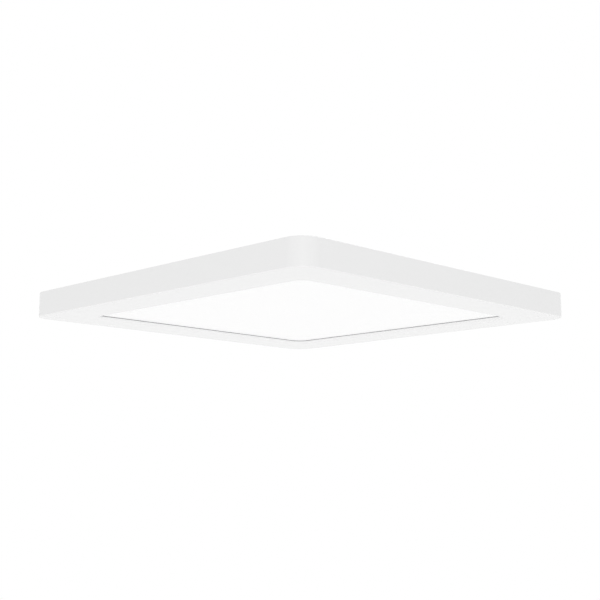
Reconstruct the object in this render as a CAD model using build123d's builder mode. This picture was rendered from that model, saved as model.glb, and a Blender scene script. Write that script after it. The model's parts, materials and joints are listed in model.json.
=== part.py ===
from build123d import *
import os
from math import sqrt

# Square flush mount ceiling light, lit from its edges, in millimetres.
# The origin is the centre of the ceiling face and +Z points up into the ceiling,
# so the whole light hangs below z = 0.

os.makedirs("parts", exist_ok=True)

# Trim frame: side walls, bezel and the opening for the diffuser
fixture_side = 305.0
fixture_height = 19.5
corner_radius = 15.0
side_wall = 1.8
bezel_width = 35.5
bezel_thickness = 2.0
outer_edge_radius = 0.6
opening_corner_radius = 9.0
opening_edge_radius = 1.4

# Optical stack, resting on a foam gasket on the bezel
seal_thickness = 0.5
seal_width = 8.0
seal_setback = 0.3
diffuser_thickness = 1.0
guide_thickness = 2.2
reflector_thickness = 0.3
foam_thickness = 0.5
foam_margin = 9.0
sheet_corner_cut = 8.0
sheet_overlap = 14.0

# Light bars round the stack, standing against a rail of the frame
rail_thickness = 1.6
bar_thickness = 1.0
bar_height = 3.4
bar_end_gap = 8.0
chip_depth = 0.8
chip_height = 1.4
chip_width = 4.0
chip_count = 18
chip_end_gap = 9.0
guide_air_gap = 0.3
jumper_radius = 0.5
jumper_bend = 6.0
connector_height = 3.0
connector_gap = 0.2
connector_nib = 2.5

# Chassis plate on the rail
chassis_thickness = 0.6
chassis_wall_gap = 8.7
chassis_corner_radius = 25.0
boss_radius = 3.2
boss_spacing = 140.0
post_radius = 3.0
post_wall_gap = 1.7
post_web = 2.4
corner_post_inset = 8.2
pilot_radius = 1.25
pilot_skin = 1.2
screw_hole_radius = 1.7

# Screws with pan heads
screw_shank_radius = 1.2
screw_head_radius = 2.75
screw_head_height = 1.6
screw_length = 6.0
recess_width = 0.6
recess_length = 2.8
recess_depth = 0.9

# Mounting plate and the studs that the light hangs on
plate_radius = 70.0
plate_thickness = 1.0
plate_gap = 0.6
wire_hole_radius = 25.0
wide_box_spacing = 88.9
narrow_box_spacing = 69.85
box_slot_half_width = 2.3
wide_slot_length = 10.0
narrow_slot_length = 9.0
stud_count = 4
stud_circle_radius = 60.0
stud_angle = 45.0
stud_radius = 2.25
stud_rivet_radius = 1.8
stud_head_radius = 4.5
stud_head_height = 1.8
stud_fit = 0.2
ground_screw_distance = 38.0
ground_screw_angle = 135.0
ground_head_radius = 3.6
ground_head_height = 1.8
ground_washer_radius = 4.2
ground_washer_thickness = 0.5

# Back cover, its keyholes and the gasket on it
cover_thickness = 0.6
cover_wall_gap = 1.2
bead_width = 8.0
bead_height = 0.5
side_bead_length = 110.0
side_bead_distance = 116.0
corner_bead_length = 62.0
corner_bead_distance = 120.0
bay_radius = 50.0
twist_angle = 15.0
keyhole_side_gap = 0.25
keyhole_entry_gap = 0.4
gasket_edge_gap = 10.5
gasket_width = 8.0
gasket_corner_radius = 10.0

# Driver housing on the chassis plate
housing_length = 140.0
housing_width = 46.0
housing_bay_gap = 8.0
housing_wall = 1.2
housing_floor = 1.0
housing_corner_radius = 3.0
housing_cover_gap = 0.6
lid_thickness = 0.8
lid_lip_depth = 1.0
lid_lip_width = 1.0
lid_fit = 0.2
ear_length = 8.0
ear_width = 9.0
ear_thickness = 1.5
standoff_radius = 2.6
standoff_height = 3.5
board_thickness = 1.2
board_lift = 1.2
board_edge_gap = 0.5
board_post_radius = 2.0
board_post_inset = 5.0
component_gap = 0.2
transformer_x = -14.0
transformer_shift_y = -1.0
transformer_length = 15.0
transformer_width = 13.0
core_slot = 3.0
bulk_capacitor_x = 16.0
bulk_capacitor_shift_y = 13.0
bulk_capacitor_length = 16.0
output_capacitor_end_gap = 30.0
output_capacitor_shift_y = -7.0
output_capacitor_pitch = 8.0
output_capacitor_length = 11.0
choke_end_gap = 34.0
choke_shift_y = -7.0
choke_radius = 5.0
choke_flange = 1.0
choke_core_radius = 3.4
fuse_end_gap = 44.0
fuse_shift_y = -17.0
fuse_radius = 1.7
fuse_length = 8.0
fuse_cap_length = 1.6

# Tone switch on the driver board, worked from the back of the light
switch_end_gap = 23.0
switch_shift_y = 11.0
switch_length = 13.0
switch_width = 7.0
switch_pocket_depth = 2.0
slider_travel = 2.0
slider_base_length = 5.0
slider_base_width = 3.6
slider_base_height = 1.2
slider_stem_length = 3.0
slider_stem_width = 2.4
slider_play = 0.25
slider_ceiling_gap = 0.6
switch_window_gap = 0.8

# Terminal block with three wire levers, in the wiring bay
terminal_length = 16.0
terminal_height = 8.0
terminal_pad_thickness = 0.8
terminal_web = 1.6
terminal_front_wall = 1.2
lever_width = 4.2
lever_side_gap = 0.2
lever_thickness = 1.8
lever_hub_radius = 1.9
lever_hub_gap = 0.3
lever_tip_overhang = 1.0
lever_pin_radius = 1.0
lever_pin_reach = 0.45
lever_pin_fit = 0.05
wire_entry_radius = 1.5
wire_entry_depth = 6.0
wire_entry_floor = 0.5
lead_socket_depth = 5.0

# Leads between the terminal block, the driver and the light bars
lead_radius = 0.9
lead_fit = 0.1
lead_bend = 8.0
lead_inside_housing = 6.0
neutral_inlet_end_gap = 58.0
line_inlet_end_gap = 50.0
earth_x = -30.0
earth_y = 24.0
earth_boss_radius = 4.0
earth_ring_radius = 4.0
earth_ring_thickness = 0.8
earth_barrel_wall = 0.7
earth_barrel_length = 5.0
earth_barrel_gap = 0.6
led_lead_radius = 0.55
led_lead_pitch = 1.3
led_lead_bend = 2.0
led_lead_drop_run = 8.0
led_outlet_shift_y = 11.0
grommet_rail_gap = 3.8
grommet_bore_radius = 2.2
grommet_wall = 0.6
grommet_flange_radius = 3.6
grommet_flange = 0.5
clip_length = 6.0
clip_width = 9.0
clip_wall = 1.0

# Heights, from the bezel up and from the ceiling down
frame_bottom = -fixture_height
bezel_top = frame_bottom + bezel_thickness
seal_top = bezel_top + seal_thickness
diffuser_top = seal_top + diffuser_thickness
guide_top = diffuser_top + guide_thickness
reflector_top = guide_top + reflector_thickness
chassis_bottom = reflector_top + foam_thickness
chassis_top = chassis_bottom + chassis_thickness
plate_bottom = -plate_thickness
cover_top = plate_bottom - plate_gap
cover_bottom = cover_top - cover_thickness
guide_middle = diffuser_top + guide_thickness / 2

# Widths that follow from the driving sizes
inner_side = fixture_side - 2 * side_wall
inner_corner_radius = corner_radius - side_wall
opening_side = fixture_side - 2 * bezel_width
rail_inner_half = opening_side / 2 + sheet_overlap
sheet_side = 2 * (rail_inner_half - bar_thickness - chip_depth - guide_air_gap)
bar_length = 2 * (rail_inner_half - bar_end_gap)
chip_pitch = (bar_length - 2 * chip_end_gap) / (chip_count - 1)
chassis_side = inner_side - 2 * chassis_wall_gap
boss_distance = (rail_inner_half + rail_thickness + chassis_side / 2) / 2
rail_height = chassis_bottom - bezel_top
post_height = cover_bottom - bezel_top
cover_side = inner_side - 2 * cover_wall_gap
cover_corner_radius = inner_corner_radius - cover_wall_gap
bar_centre = rail_inner_half - bar_thickness / 2
chip_centre = rail_inner_half - bar_thickness - chip_depth / 2
post_distance = inner_side / 2 - post_wall_gap - post_radius
corner_post_distance = inner_side / 2 - corner_post_inset
gasket_outer_half = cover_side / 2 - gasket_edge_gap
grommet_distance = rail_inner_half - grommet_rail_gap
housing_y = bay_radius + housing_bay_gap + housing_width / 2
switch_x = housing_length / 2 - switch_end_gap
switch_y = housing_y + switch_shift_y
led_outlet_y = housing_y + led_outlet_shift_y
neutral_inlet_x = housing_length / 2 - neutral_inlet_end_gap
line_inlet_x = housing_length / 2 - line_inlet_end_gap
clip_distance = (led_outlet_y + grommet_distance) / 2

boss_places = []
for step in (-boss_spacing / 2, boss_spacing / 2):
    boss_places += [(boss_distance, step), (-boss_distance, step)]
    boss_places += [(step, boss_distance), (step, -boss_distance)]

post_places = [(post_distance, 0), (-post_distance, 0), (0, post_distance), (0, -post_distance)]
for side_x in (-corner_post_distance, corner_post_distance):
    for side_y in (-corner_post_distance, corner_post_distance):
        post_places.append((side_x, side_y))


def at_height(places, height):
    return [(x, y, height) for x, y in places]


def pan_head_screws(places, seat, length):
    # cross recessed screws that stand with their heads on the seat height
    with Locations(*at_height(places, seat)):
        Cylinder(screw_head_radius, screw_head_height, align=(Align.CENTER, Align.CENTER, Align.MIN))
        Cylinder(screw_shank_radius, length, align=(Align.CENTER, Align.CENTER, Align.MAX))
    with Locations(*at_height(places, seat + screw_head_height)):
        for width, depth in ((recess_length, recess_width), (recess_width, recess_length)):
            Box(width, depth, 2 * recess_depth, mode=Mode.SUBTRACT)


def stack_sheet(height, thickness):
    # square sheet of the optical stack, its corners cut for the leads
    with BuildSketch(Plane.XY.offset(height)) as outline:
        Rectangle(sheet_side, sheet_side)
        chamfer(outline.vertices(), sheet_corner_cut)
    extrude(outline.sketch, amount=thickness)


def lead_along(points, radius, bend):
    # round lead swept along straight runs joined by arcs
    with BuildLine() as route:
        FilletPolyline(*points, radius=bend)
    with BuildSketch(Plane(origin=route.line @ 0, z_dir=route.line % 0)) as section:
        Circle(radius)
    sweep(section.sketch, path=route.line)


with BuildPart() as trim_frame:
    with BuildSketch(Plane.XY.offset(frame_bottom)):
        RectangleRounded(fixture_side, fixture_side, corner_radius)
    extrude(amount=fixture_height)
    with BuildSketch(Plane.XY.offset(bezel_top)):
        RectangleRounded(inner_side, inner_side, inner_corner_radius)
    extrude(amount=fixture_height - bezel_thickness, mode=Mode.SUBTRACT)
    with BuildSketch(Plane.XY.offset(frame_bottom)):
        RectangleRounded(opening_side, opening_side, opening_corner_radius)
    extrude(amount=bezel_thickness, mode=Mode.SUBTRACT)
    bezel_face = trim_frame.faces().sort_by(Axis.Z)[0]
    fillet(bezel_face.outer_wire().edges(), outer_edge_radius)
    bezel_face = trim_frame.faces().filter_by(Plane.XY).sort_by(Axis.Z)[0]
    fillet(bezel_face.inner_wires()[0].edges(), opening_edge_radius)
    # rail for the light bars, and a boss under each chassis screw
    rail_outer_side = 2 * (rail_inner_half + rail_thickness)
    with BuildSketch(Plane.XY.offset(bezel_top)):
        RectangleRounded(rail_outer_side, rail_outer_side, rail_thickness)
        Rectangle(2 * rail_inner_half, 2 * rail_inner_half, mode=Mode.SUBTRACT)
        with Locations(*boss_places):
            Circle(boss_radius)
    extrude(amount=rail_height)
    # taller posts that carry the back cover
    with BuildSketch(Plane.XY.offset(bezel_top)):
        with Locations(*post_places):
            Circle(post_radius)
        with PolarLocations(post_distance, 4):
            web_length = post_radius + post_wall_gap + side_wall / 2
            Rectangle(web_length, post_web, align=(Align.MIN, Align.CENTER))
    extrude(amount=post_height)
    with Locations(*at_height(boss_places, chassis_bottom)):
        Hole(pilot_radius, depth=rail_height + bezel_thickness - pilot_skin)
    with Locations(*at_height(post_places, cover_bottom)):
        Hole(pilot_radius, depth=screw_length)

trim_frame.part.label = "trim_frame"
export_step(trim_frame.part, "parts/trim_frame.step")

seal_inner_side = opening_side + 2 * seal_setback
seal_outer_side = seal_inner_side + 2 * seal_width
with BuildPart() as diffuser_gasket:
    with BuildSketch(Plane.XY.offset(bezel_top)):
        seal_inner_radius = opening_corner_radius + seal_setback
        RectangleRounded(seal_outer_side, seal_outer_side, seal_inner_radius + seal_width)
        RectangleRounded(seal_inner_side, seal_inner_side, seal_inner_radius, mode=Mode.SUBTRACT)
    extrude(amount=seal_thickness)

diffuser_gasket.part.label = "diffuser_gasket"
export_step(diffuser_gasket.part, "parts/diffuser_gasket.step")

with BuildPart() as diffuser:
    stack_sheet(seal_top, diffuser_thickness)

diffuser.part.label = "diffuser"
export_step(diffuser.part, "parts/diffuser.step")

with BuildPart() as light_guide:
    stack_sheet(diffuser_top, guide_thickness)

light_guide.part.label = "light_guide"
export_step(light_guide.part, "parts/light_guide.step")

with BuildPart() as reflector_sheet:
    stack_sheet(guide_top, reflector_thickness)

reflector_sheet.part.label = "reflector_sheet"
export_step(reflector_sheet.part, "parts/reflector_sheet.step")

with BuildPart() as backing_foam:
    with BuildSketch(Plane.XY.offset(reflector_top)):
        Rectangle(sheet_side - 2 * foam_margin, sheet_side - 2 * foam_margin)
    extrude(amount=foam_thickness)

backing_foam.part.label = "backing_foam"
export_step(backing_foam.part, "parts/backing_foam.step")

# One light bar along each side of the guide
bar_turns = {"right": 0, "back": 90, "left": 180, "front": 270}
for bar_side, turn in bar_turns.items():
    with BuildPart(Plane.XY.rotated((0, 0, turn))) as led_bar:
        with Locations((bar_centre, 0, guide_middle)):
            Box(bar_thickness, bar_length, bar_height)
    led_bar.part.label = f"led_bar_{bar_side}"
    export_step(led_bar.part, f"parts/led_bar_{bar_side}.step")

with BuildPart(Plane.XY.offset(guide_middle)) as led_chips:
    with PolarLocations(chip_centre, len(bar_turns)):
        with GridLocations(1, chip_pitch, 1, chip_count):
            Box(chip_depth, chip_width, chip_height)

led_chips.part.label = "led_chips"
export_step(led_chips.part, "parts/led_chips.step")

# Jumper leads round three corners; the fourth corner holds the connector
jumper_line = rail_inner_half - bar_thickness - jumper_radius - lead_fit / 2
jumper_end = bar_length / 2 - 2 * jumper_radius
with BuildPart(Plane.XY.offset(guide_middle)) as bar_jumpers:
    for turn in (0, 180, 270):
        corner_plane = Plane.XY.offset(guide_middle).rotated((0, 0, turn))
        with BuildLine(corner_plane) as jumper_route:
            FilletPolyline(
                (jumper_line, jumper_end),
                (jumper_line, jumper_line),
                (jumper_end, jumper_line),
                radius=jumper_bend,
            )
        with BuildSketch(Plane(origin=jumper_route.line @ 0, z_dir=jumper_route.line % 0)):
            Circle(jumper_radius)
        sweep(path=jumper_route.line)

bar_jumpers.part.label = "bar_jumpers"
export_step(bar_jumpers.part, "parts/bar_jumpers.step")

connector_far = rail_inner_half - connector_gap
connector_near = bar_length / 2 + connector_gap
with BuildPart() as bar_connector:
    with BuildSketch(Plane.XY.offset(bezel_top)):
        with BuildLine():
            Polyline(
                (-connector_far, connector_near),
                (-connector_far, connector_far),
                (-connector_near, connector_far),
                (-connector_near, connector_far - connector_nib),
                (connector_nib - connector_far, connector_near),
                close=True,
            )
        make_face()
    extrude(amount=connector_height)

bar_connector.part.label = "bar_connector"
export_step(bar_connector.part, "parts/bar_connector.step")

# Heights in the driver housing
housing_floor_top = chassis_top + housing_floor
lid_top = cover_bottom - housing_cover_gap
lid_bottom = lid_top - lid_thickness
board_bottom = housing_floor_top + board_lift
board_top = board_bottom + board_thickness
component_room = lid_bottom - board_top - component_gap
lead_height = board_top + lead_radius + lead_fit / 2
led_lead_height = board_top + led_lead_radius + lead_fit / 2
housing_inner_length = housing_length - 2 * housing_wall
housing_inner_width = housing_width - 2 * housing_wall
board_length = housing_inner_length - 2 * board_edge_gap
board_width = housing_inner_width - 2 * board_edge_gap
housing_front = housing_y - housing_width / 2
ear_bottom = chassis_top + standoff_height
ear_centre = housing_length / 2 + ear_length / 2
ear_places = [(-ear_centre, housing_y - housing_width / 4), (ear_centre, housing_y)]
earth_ring_bottom = lead_height - lead_radius - earth_barrel_wall
grommet_outer_radius = grommet_bore_radius + grommet_wall

with BuildPart() as chassis_plate:
    with BuildSketch(Plane.XY.offset(chassis_bottom)):
        RectangleRounded(chassis_side, chassis_side, chassis_corner_radius)
        with Locations(*boss_places):
            Circle(screw_hole_radius, mode=Mode.SUBTRACT)
        with Locations((-grommet_distance, grommet_distance)):
            Circle(grommet_outer_radius, mode=Mode.SUBTRACT)
    extrude(amount=chassis_thickness)
    # pressed-up bosses for the driver screws and the earth screw
    with BuildSketch(Plane.XY.offset(chassis_top)):
        with Locations(*ear_places):
            Circle(standoff_radius)
    extrude(amount=standoff_height)
    with BuildSketch(Plane.XY.offset(chassis_top)):
        with Locations((earth_x, earth_y)):
            Circle(earth_boss_radius)
    extrude(amount=earth_ring_bottom - chassis_top)
    with Locations(*at_height(ear_places, ear_bottom), (earth_x, earth_y, earth_ring_bottom)):
        Hole(pilot_radius, depth=earth_ring_bottom - chassis_top)

chassis_plate.part.label = "chassis_plate"
export_step(chassis_plate.part, "parts/chassis_plate.step")

with BuildPart() as chassis_screws:
    pan_head_screws(boss_places, chassis_top, rail_height)

chassis_screws.part.label = "chassis_screws"
export_step(chassis_screws.part, "parts/chassis_screws.step")

# Keyholes: the stud rests at the narrow end and leaves through the round end
keyhole_slot_width = 2 * (stud_radius + keyhole_side_gap)
keyhole_entry_radius = stud_head_radius + keyhole_entry_gap
keyhole_arc = CenterArc((0, 0), stud_circle_radius, stud_angle, twist_angle)
window_length = slider_stem_length + 2 * slider_travel + 2 * switch_window_gap
window_width = slider_stem_width + 2 * switch_window_gap
bead_rows = [
    (0, side_bead_distance, side_bead_length, 90),
    (45, corner_bead_distance, corner_bead_length, 0),
]
with BuildPart() as back_cover:
    with BuildSketch(Plane.XY.offset(cover_bottom)):
        RectangleRounded(cover_side, cover_side, cover_corner_radius)
        Circle(bay_radius, mode=Mode.SUBTRACT)
        with Locations(*post_places):
            Circle(screw_hole_radius, mode=Mode.SUBTRACT)
        with PolarLocations(0, stud_count):
            SlotArc(keyhole_arc, keyhole_slot_width, mode=Mode.SUBTRACT)
        with PolarLocations(stud_circle_radius, stud_count, start_angle=stud_angle + twist_angle):
            Circle(keyhole_entry_radius, mode=Mode.SUBTRACT)
        with Locations((switch_x, switch_y)):
            Rectangle(window_length, window_width, mode=Mode.SUBTRACT)
    extrude(amount=cover_thickness)
    # pressed beads that stiffen the sheet, hollow from below
    for bead_start, bead_distance, bead_length, bead_turn in bead_rows:
        bead_groove = bead_width - 2 * cover_thickness
        with BuildSketch(Plane.XY.offset(cover_top)):
            with PolarLocations(bead_distance, 4, start_angle=bead_start):
                SlotOverall(bead_length, bead_width, rotation=bead_turn)
        extrude(amount=bead_height)
        with BuildSketch(Plane.XY.offset(cover_bottom)):
            with PolarLocations(bead_distance, 4, start_angle=bead_start):
                SlotOverall(bead_length - 2 * cover_thickness, bead_groove, rotation=bead_turn)
        extrude(amount=bead_height, mode=Mode.SUBTRACT)

back_cover.part.label = "back_cover"
export_step(back_cover.part, "parts/back_cover.step")

with BuildPart() as cover_screws:
    pan_head_screws(post_places, cover_top, screw_length)

cover_screws.part.label = "cover_screws"
export_step(cover_screws.part, "parts/cover_screws.step")

gasket_inner_side = 2 * (gasket_outer_half - gasket_width)
with BuildPart() as ceiling_gasket:
    with BuildSketch(Plane.XY.offset(cover_top)):
        RectangleRounded(2 * gasket_outer_half, 2 * gasket_outer_half, gasket_corner_radius)
        Rectangle(gasket_inner_side, gasket_inner_side, mode=Mode.SUBTRACT)
    extrude(amount=-cover_top)

ceiling_gasket.part.label = "ceiling_gasket"
export_step(ceiling_gasket.part, "parts/ceiling_gasket.step")

# Mounting plate, screwed on the ceiling box through either pair of slots
ground_place = Location((0, 0, 0), (0, 0, ground_screw_angle)) * Location((ground_screw_distance, 0, 0))
with BuildPart() as mounting_plate:
    with BuildSketch(Plane.XY.offset(plate_bottom)):
        Circle(plate_radius)
        Circle(wire_hole_radius, mode=Mode.SUBTRACT)
        with Locations((-wide_box_spacing / 2, 0), (wide_box_spacing / 2, 0)):
            SlotOverall(wide_slot_length, 2 * box_slot_half_width, mode=Mode.SUBTRACT)
        with Locations((0, -narrow_box_spacing / 2), (0, narrow_box_spacing / 2)):
            SlotOverall(narrow_slot_length, 2 * box_slot_half_width, rotation=90, mode=Mode.SUBTRACT)
        with PolarLocations(stud_circle_radius, stud_count, start_angle=stud_angle):
            Circle(stud_rivet_radius + lead_fit / 2, mode=Mode.SUBTRACT)
        with Locations(ground_place):
            Circle(screw_hole_radius, mode=Mode.SUBTRACT)
    extrude(amount=plate_thickness)

mounting_plate.part.label = "mounting_plate"
export_step(mounting_plate.part, "parts/mounting_plate.step")

stud_shoulder = plate_gap + cover_thickness + stud_fit
with BuildPart() as twist_studs:
    with BuildSketch(Plane.XY):
        with PolarLocations(stud_circle_radius, stud_count, start_angle=stud_angle):
            Circle(stud_rivet_radius)
    extrude(amount=-plate_thickness)
    with BuildSketch(Plane.XY.offset(plate_bottom)):
        with PolarLocations(stud_circle_radius, stud_count, start_angle=stud_angle):
            Circle(stud_radius)
    extrude(amount=-stud_shoulder)
    with BuildSketch(Plane.XY.offset(plate_bottom - stud_shoulder)):
        with PolarLocations(stud_circle_radius, stud_count, start_angle=stud_angle):
            Circle(stud_head_radius)
    extrude(amount=-stud_head_height)
    chamfer(twist_studs.faces().group_by(Axis.Z)[0].edges(), stud_fit)

twist_studs.part.label = "twist_studs"
export_step(twist_studs.part, "parts/twist_studs.step")

washer_bottom = plate_bottom - ground_washer_thickness
with BuildPart() as ground_screw:
    with BuildSketch(Plane.XY.offset(plate_bottom)):
        with Locations(ground_place):
            Circle(ground_washer_radius)
    extrude(amount=-ground_washer_thickness)
    with BuildSketch(Plane.XY.offset(washer_bottom)):
        with Locations(ground_place):
            Circle(ground_head_radius)
    extrude(amount=-ground_head_height)
    with BuildSketch(Plane.XY.offset(plate_bottom)):
        with Locations(ground_place):
            Circle(screw_hole_radius - lead_fit)
    extrude(amount=plate_thickness)
    with BuildSketch(Plane.XY.offset(washer_bottom - ground_head_height)):
        with Locations(ground_place):
            Rectangle(2 * ground_head_radius, recess_width)
    extrude(amount=recess_depth, mode=Mode.SUBTRACT)

ground_screw.part.label = "ground_screw"
export_step(ground_screw.part, "parts/ground_screw.step")

# Driver housing: a shallow box with two ears, screwed on the bosses of the chassis plate
post_inset_x = board_length / 2 - board_post_inset
post_inset_y = board_width / 2 - board_post_inset
neutral_inlet = Plane(origin=(neutral_inlet_x, housing_front, lead_height), z_dir=(0, 1, 0))
line_inlet = Plane(origin=(line_inlet_x, housing_front, lead_height), z_dir=(0, 1, 0))
with BuildPart() as driver_housing:
    with BuildSketch(Plane.XY.offset(chassis_top)):
        with Locations((0, housing_y)):
            RectangleRounded(housing_length, housing_width, housing_corner_radius)
    extrude(amount=lid_bottom - chassis_top)
    with BuildSketch(Plane.XY.offset(housing_floor_top)):
        with Locations((0, housing_y)):
            inner_radius = housing_corner_radius - housing_wall
            RectangleRounded(housing_inner_length, housing_inner_width, inner_radius)
    extrude(amount=lid_bottom - housing_floor_top, mode=Mode.SUBTRACT)
    with BuildSketch(Plane.XY.offset(housing_floor_top)):
        with Locations((0, housing_y)):
            with GridLocations(2 * post_inset_x, 2 * post_inset_y, 2, 2):
                Circle(board_post_radius)
    extrude(amount=board_lift)
    with BuildSketch(Plane.XY.offset(ear_bottom)):
        for ear_x, ear_y in ear_places:
            with Locations((ear_x, ear_y)):
                Rectangle(ear_length, ear_width)
    extrude(amount=ear_thickness)
    with Locations(*at_height(ear_places, ear_bottom + ear_thickness)):
        Hole(screw_hole_radius, depth=2 * ear_thickness)
    for inlet in (neutral_inlet, line_inlet):
        with BuildSketch(inlet):
            Circle(lead_radius + lead_fit)
        extrude(amount=housing_wall, mode=Mode.SUBTRACT)
    with Locations((-housing_length / 2 + housing_wall / 2, led_outlet_y, led_lead_height)):
        outlet_height = 2 * (led_lead_radius + lead_fit)
        Box(housing_wall, 2 * led_lead_pitch + outlet_height, outlet_height, mode=Mode.SUBTRACT)

driver_housing.part.label = "driver_housing"
export_step(driver_housing.part, "parts/driver_housing.step")

with BuildPart() as driver_lid:
    with BuildSketch(Plane.XY.offset(lid_bottom)):
        with Locations((0, housing_y)):
            RectangleRounded(housing_length, housing_width, housing_corner_radius)
    extrude(amount=lid_thickness)
    lip_length = housing_inner_length - 2 * lid_fit
    lip_width = housing_inner_width - 2 * lid_fit
    with BuildSketch(Plane.XY.offset(lid_bottom)):
        with Locations((0, housing_y)):
            RectangleRounded(lip_length, lip_width, housing_corner_radius - housing_wall - lid_fit)
            Rectangle(lip_length - 2 * lid_lip_width, lip_width - 2 * lid_lip_width, mode=Mode.SUBTRACT)
    extrude(amount=-lid_lip_depth)
    with BuildSketch(Plane.XY.offset(lid_bottom)):
        with Locations((switch_x, switch_y)):
            Rectangle(window_length, window_width)
    extrude(amount=lid_thickness, mode=Mode.SUBTRACT)

driver_lid.part.label = "driver_lid"
export_step(driver_lid.part, "parts/driver_lid.step")

with BuildPart() as driver_screws:
    pan_head_screws(ear_places, ear_bottom + ear_thickness, standoff_height)

driver_screws.part.label = "driver_screws"
export_step(driver_screws.part, "parts/driver_screws.step")

with BuildPart() as driver_board:
    with BuildSketch(Plane.XY.offset(board_bottom)):
        with Locations((0, housing_y)):
            Rectangle(board_length, board_width)
    extrude(amount=board_thickness)

driver_board.part.label = "driver_board"
export_step(driver_board.part, "parts/driver_board.step")

transformer_y = housing_y + transformer_shift_y
with BuildPart() as transformer:
    with BuildSketch(Plane.XY.offset(board_top)):
        with Locations((transformer_x, transformer_y)):
            Rectangle(transformer_length, transformer_width)
    extrude(amount=component_room)
    # the winding stands back inside the core's window
    for side in (-1, 1):
        slot_y = transformer_y + side * transformer_width / 2
        with Locations((transformer_x, slot_y, board_top + component_room / 2)):
            Box(transformer_length - 2 * core_slot, core_slot, component_room / 2, mode=Mode.SUBTRACT)

transformer.part.label = "transformer"
export_step(transformer.part, "parts/transformer.step")

capacitor_radius = component_room / 2
bulk_capacitor_y = housing_y + bulk_capacitor_shift_y
with BuildPart() as bulk_capacitor:
    with Locations((bulk_capacitor_x, bulk_capacitor_y, board_top + capacitor_radius)):
        Cylinder(capacitor_radius, bulk_capacitor_length, rotation=(0, 90, 0))
    fillet(bulk_capacitor.edges().filter_by(GeomType.CIRCLE), capacitor_radius / 8)

bulk_capacitor.part.label = "bulk_capacitor"
export_step(bulk_capacitor.part, "parts/bulk_capacitor.step")

output_capacitor_x = output_capacitor_end_gap - housing_length / 2
output_capacitor_y = housing_y + output_capacitor_shift_y
with BuildPart(Plane.XY.offset(board_top + capacitor_radius)) as output_capacitors:
    with Locations((output_capacitor_x, output_capacitor_y + output_capacitor_pitch / 2)):
        with GridLocations(1, output_capacitor_pitch, 1, 2):
            Cylinder(capacitor_radius, output_capacitor_length, rotation=(0, 90, 0))
    fillet(output_capacitors.edges().filter_by(GeomType.CIRCLE), capacitor_radius / 8)

output_capacitors.part.label = "output_capacitors"
export_step(output_capacitors.part, "parts/output_capacitors.step")

choke_x = housing_length / 2 - choke_end_gap
choke_y = housing_y + choke_shift_y
with BuildPart() as input_choke:
    with Locations((choke_x, choke_y, board_top)):
        Cylinder(choke_radius, choke_flange, align=(Align.CENTER, Align.CENTER, Align.MIN))
        Cylinder(choke_core_radius, component_room, align=(Align.CENTER, Align.CENTER, Align.MIN))
    with Locations((choke_x, choke_y, board_top + component_room)):
        Cylinder(choke_radius, choke_flange, align=(Align.CENTER, Align.CENTER, Align.MAX))

input_choke.part.label = "input_choke"
export_step(input_choke.part, "parts/input_choke.step")

fuse_x = housing_length / 2 - fuse_end_gap
fuse_y = housing_y + fuse_shift_y
with BuildPart() as fuse:
    with Locations((fuse_x, fuse_y, board_top + fuse_radius)):
        Cylinder(fuse_radius - lead_fit, fuse_length, rotation=(0, 90, 0))
    cap_shift = (fuse_length - fuse_cap_length) / 2
    for side in (-1, 1):
        with Locations((fuse_x + side * cap_shift, fuse_y, board_top + fuse_radius)):
            Cylinder(fuse_radius, fuse_cap_length, rotation=(0, 90, 0))

fuse.part.label = "fuse"
export_step(fuse.part, "parts/fuse.step")

# Tone switch: the slider's base runs in a pocket of the body, its stem reaches the back cover
switch_top = lid_bottom - component_gap
pocket_bottom = switch_top - switch_pocket_depth
pocket_length = slider_base_length + 2 * slider_travel + 2 * slider_play
with BuildPart() as tone_switch_body:
    with BuildSketch(Plane.XY.offset(board_top)):
        with Locations((switch_x, switch_y)):
            Rectangle(switch_length, switch_width)
    extrude(amount=switch_top - board_top)
    with BuildSketch(Plane.XY.offset(pocket_bottom)):
        with Locations((switch_x, switch_y)):
            Rectangle(pocket_length, slider_base_width + 2 * slider_play)
    extrude(amount=switch_pocket_depth, mode=Mode.SUBTRACT)

tone_switch_body.part.label = "tone_switch_body"
export_step(tone_switch_body.part, "parts/tone_switch_body.step")

with BuildPart() as tone_slider:
    with BuildSketch(Plane.XY.offset(pocket_bottom)):
        with Locations((switch_x, switch_y)):
            Rectangle(slider_base_length, slider_base_width)
    extrude(amount=slider_base_height)
    with BuildSketch(Plane.XY.offset(pocket_bottom)):
        with Locations((switch_x, switch_y)):
            Rectangle(slider_stem_length, slider_stem_width)
    extrude(amount=-slider_ceiling_gap - pocket_bottom)
    chamfer(tone_slider.faces().sort_by(Axis.Z)[-1].edges(), slider_play)

tone_slider.part.label = "tone_slider"
export_step(tone_slider.part, "parts/tone_slider.step")

# Terminal block: pockets for the levers on top, wire entries in front, lead sockets behind
lever_slot = lever_width + 2 * lever_side_gap
pole_pitch = lever_slot + terminal_web
terminal_width = 3 * lever_slot + 4 * terminal_web
terminal_bottom = chassis_top + terminal_pad_thickness
terminal_top = terminal_bottom + terminal_height
terminal_front = -terminal_length / 2
terminal_back = terminal_length / 2
pivot_y = terminal_front + terminal_front_wall + lever_hub_gap + lever_hub_radius
pivot_z = terminal_top - lever_hub_radius
hub_pocket_front = terminal_front + terminal_front_wall
hub_pocket_length = 2 * (lever_hub_radius + lever_hub_gap)
hub_pocket_depth = 2 * lever_hub_radius + lever_hub_gap
arm_pocket_depth = lever_thickness + lever_hub_gap
lever_tip = terminal_back + lever_tip_overhang
wire_entry_height = terminal_bottom + wire_entry_floor + wire_entry_radius
poles = {"earth": -pole_pitch, "neutral": 0.0, "line": pole_pitch}

with BuildPart() as terminal_pad:
    with BuildSketch(Plane.XY.offset(chassis_top)):
        Rectangle(terminal_width - 2 * terminal_web, terminal_length - 2 * terminal_web)
    extrude(amount=terminal_pad_thickness)

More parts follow.
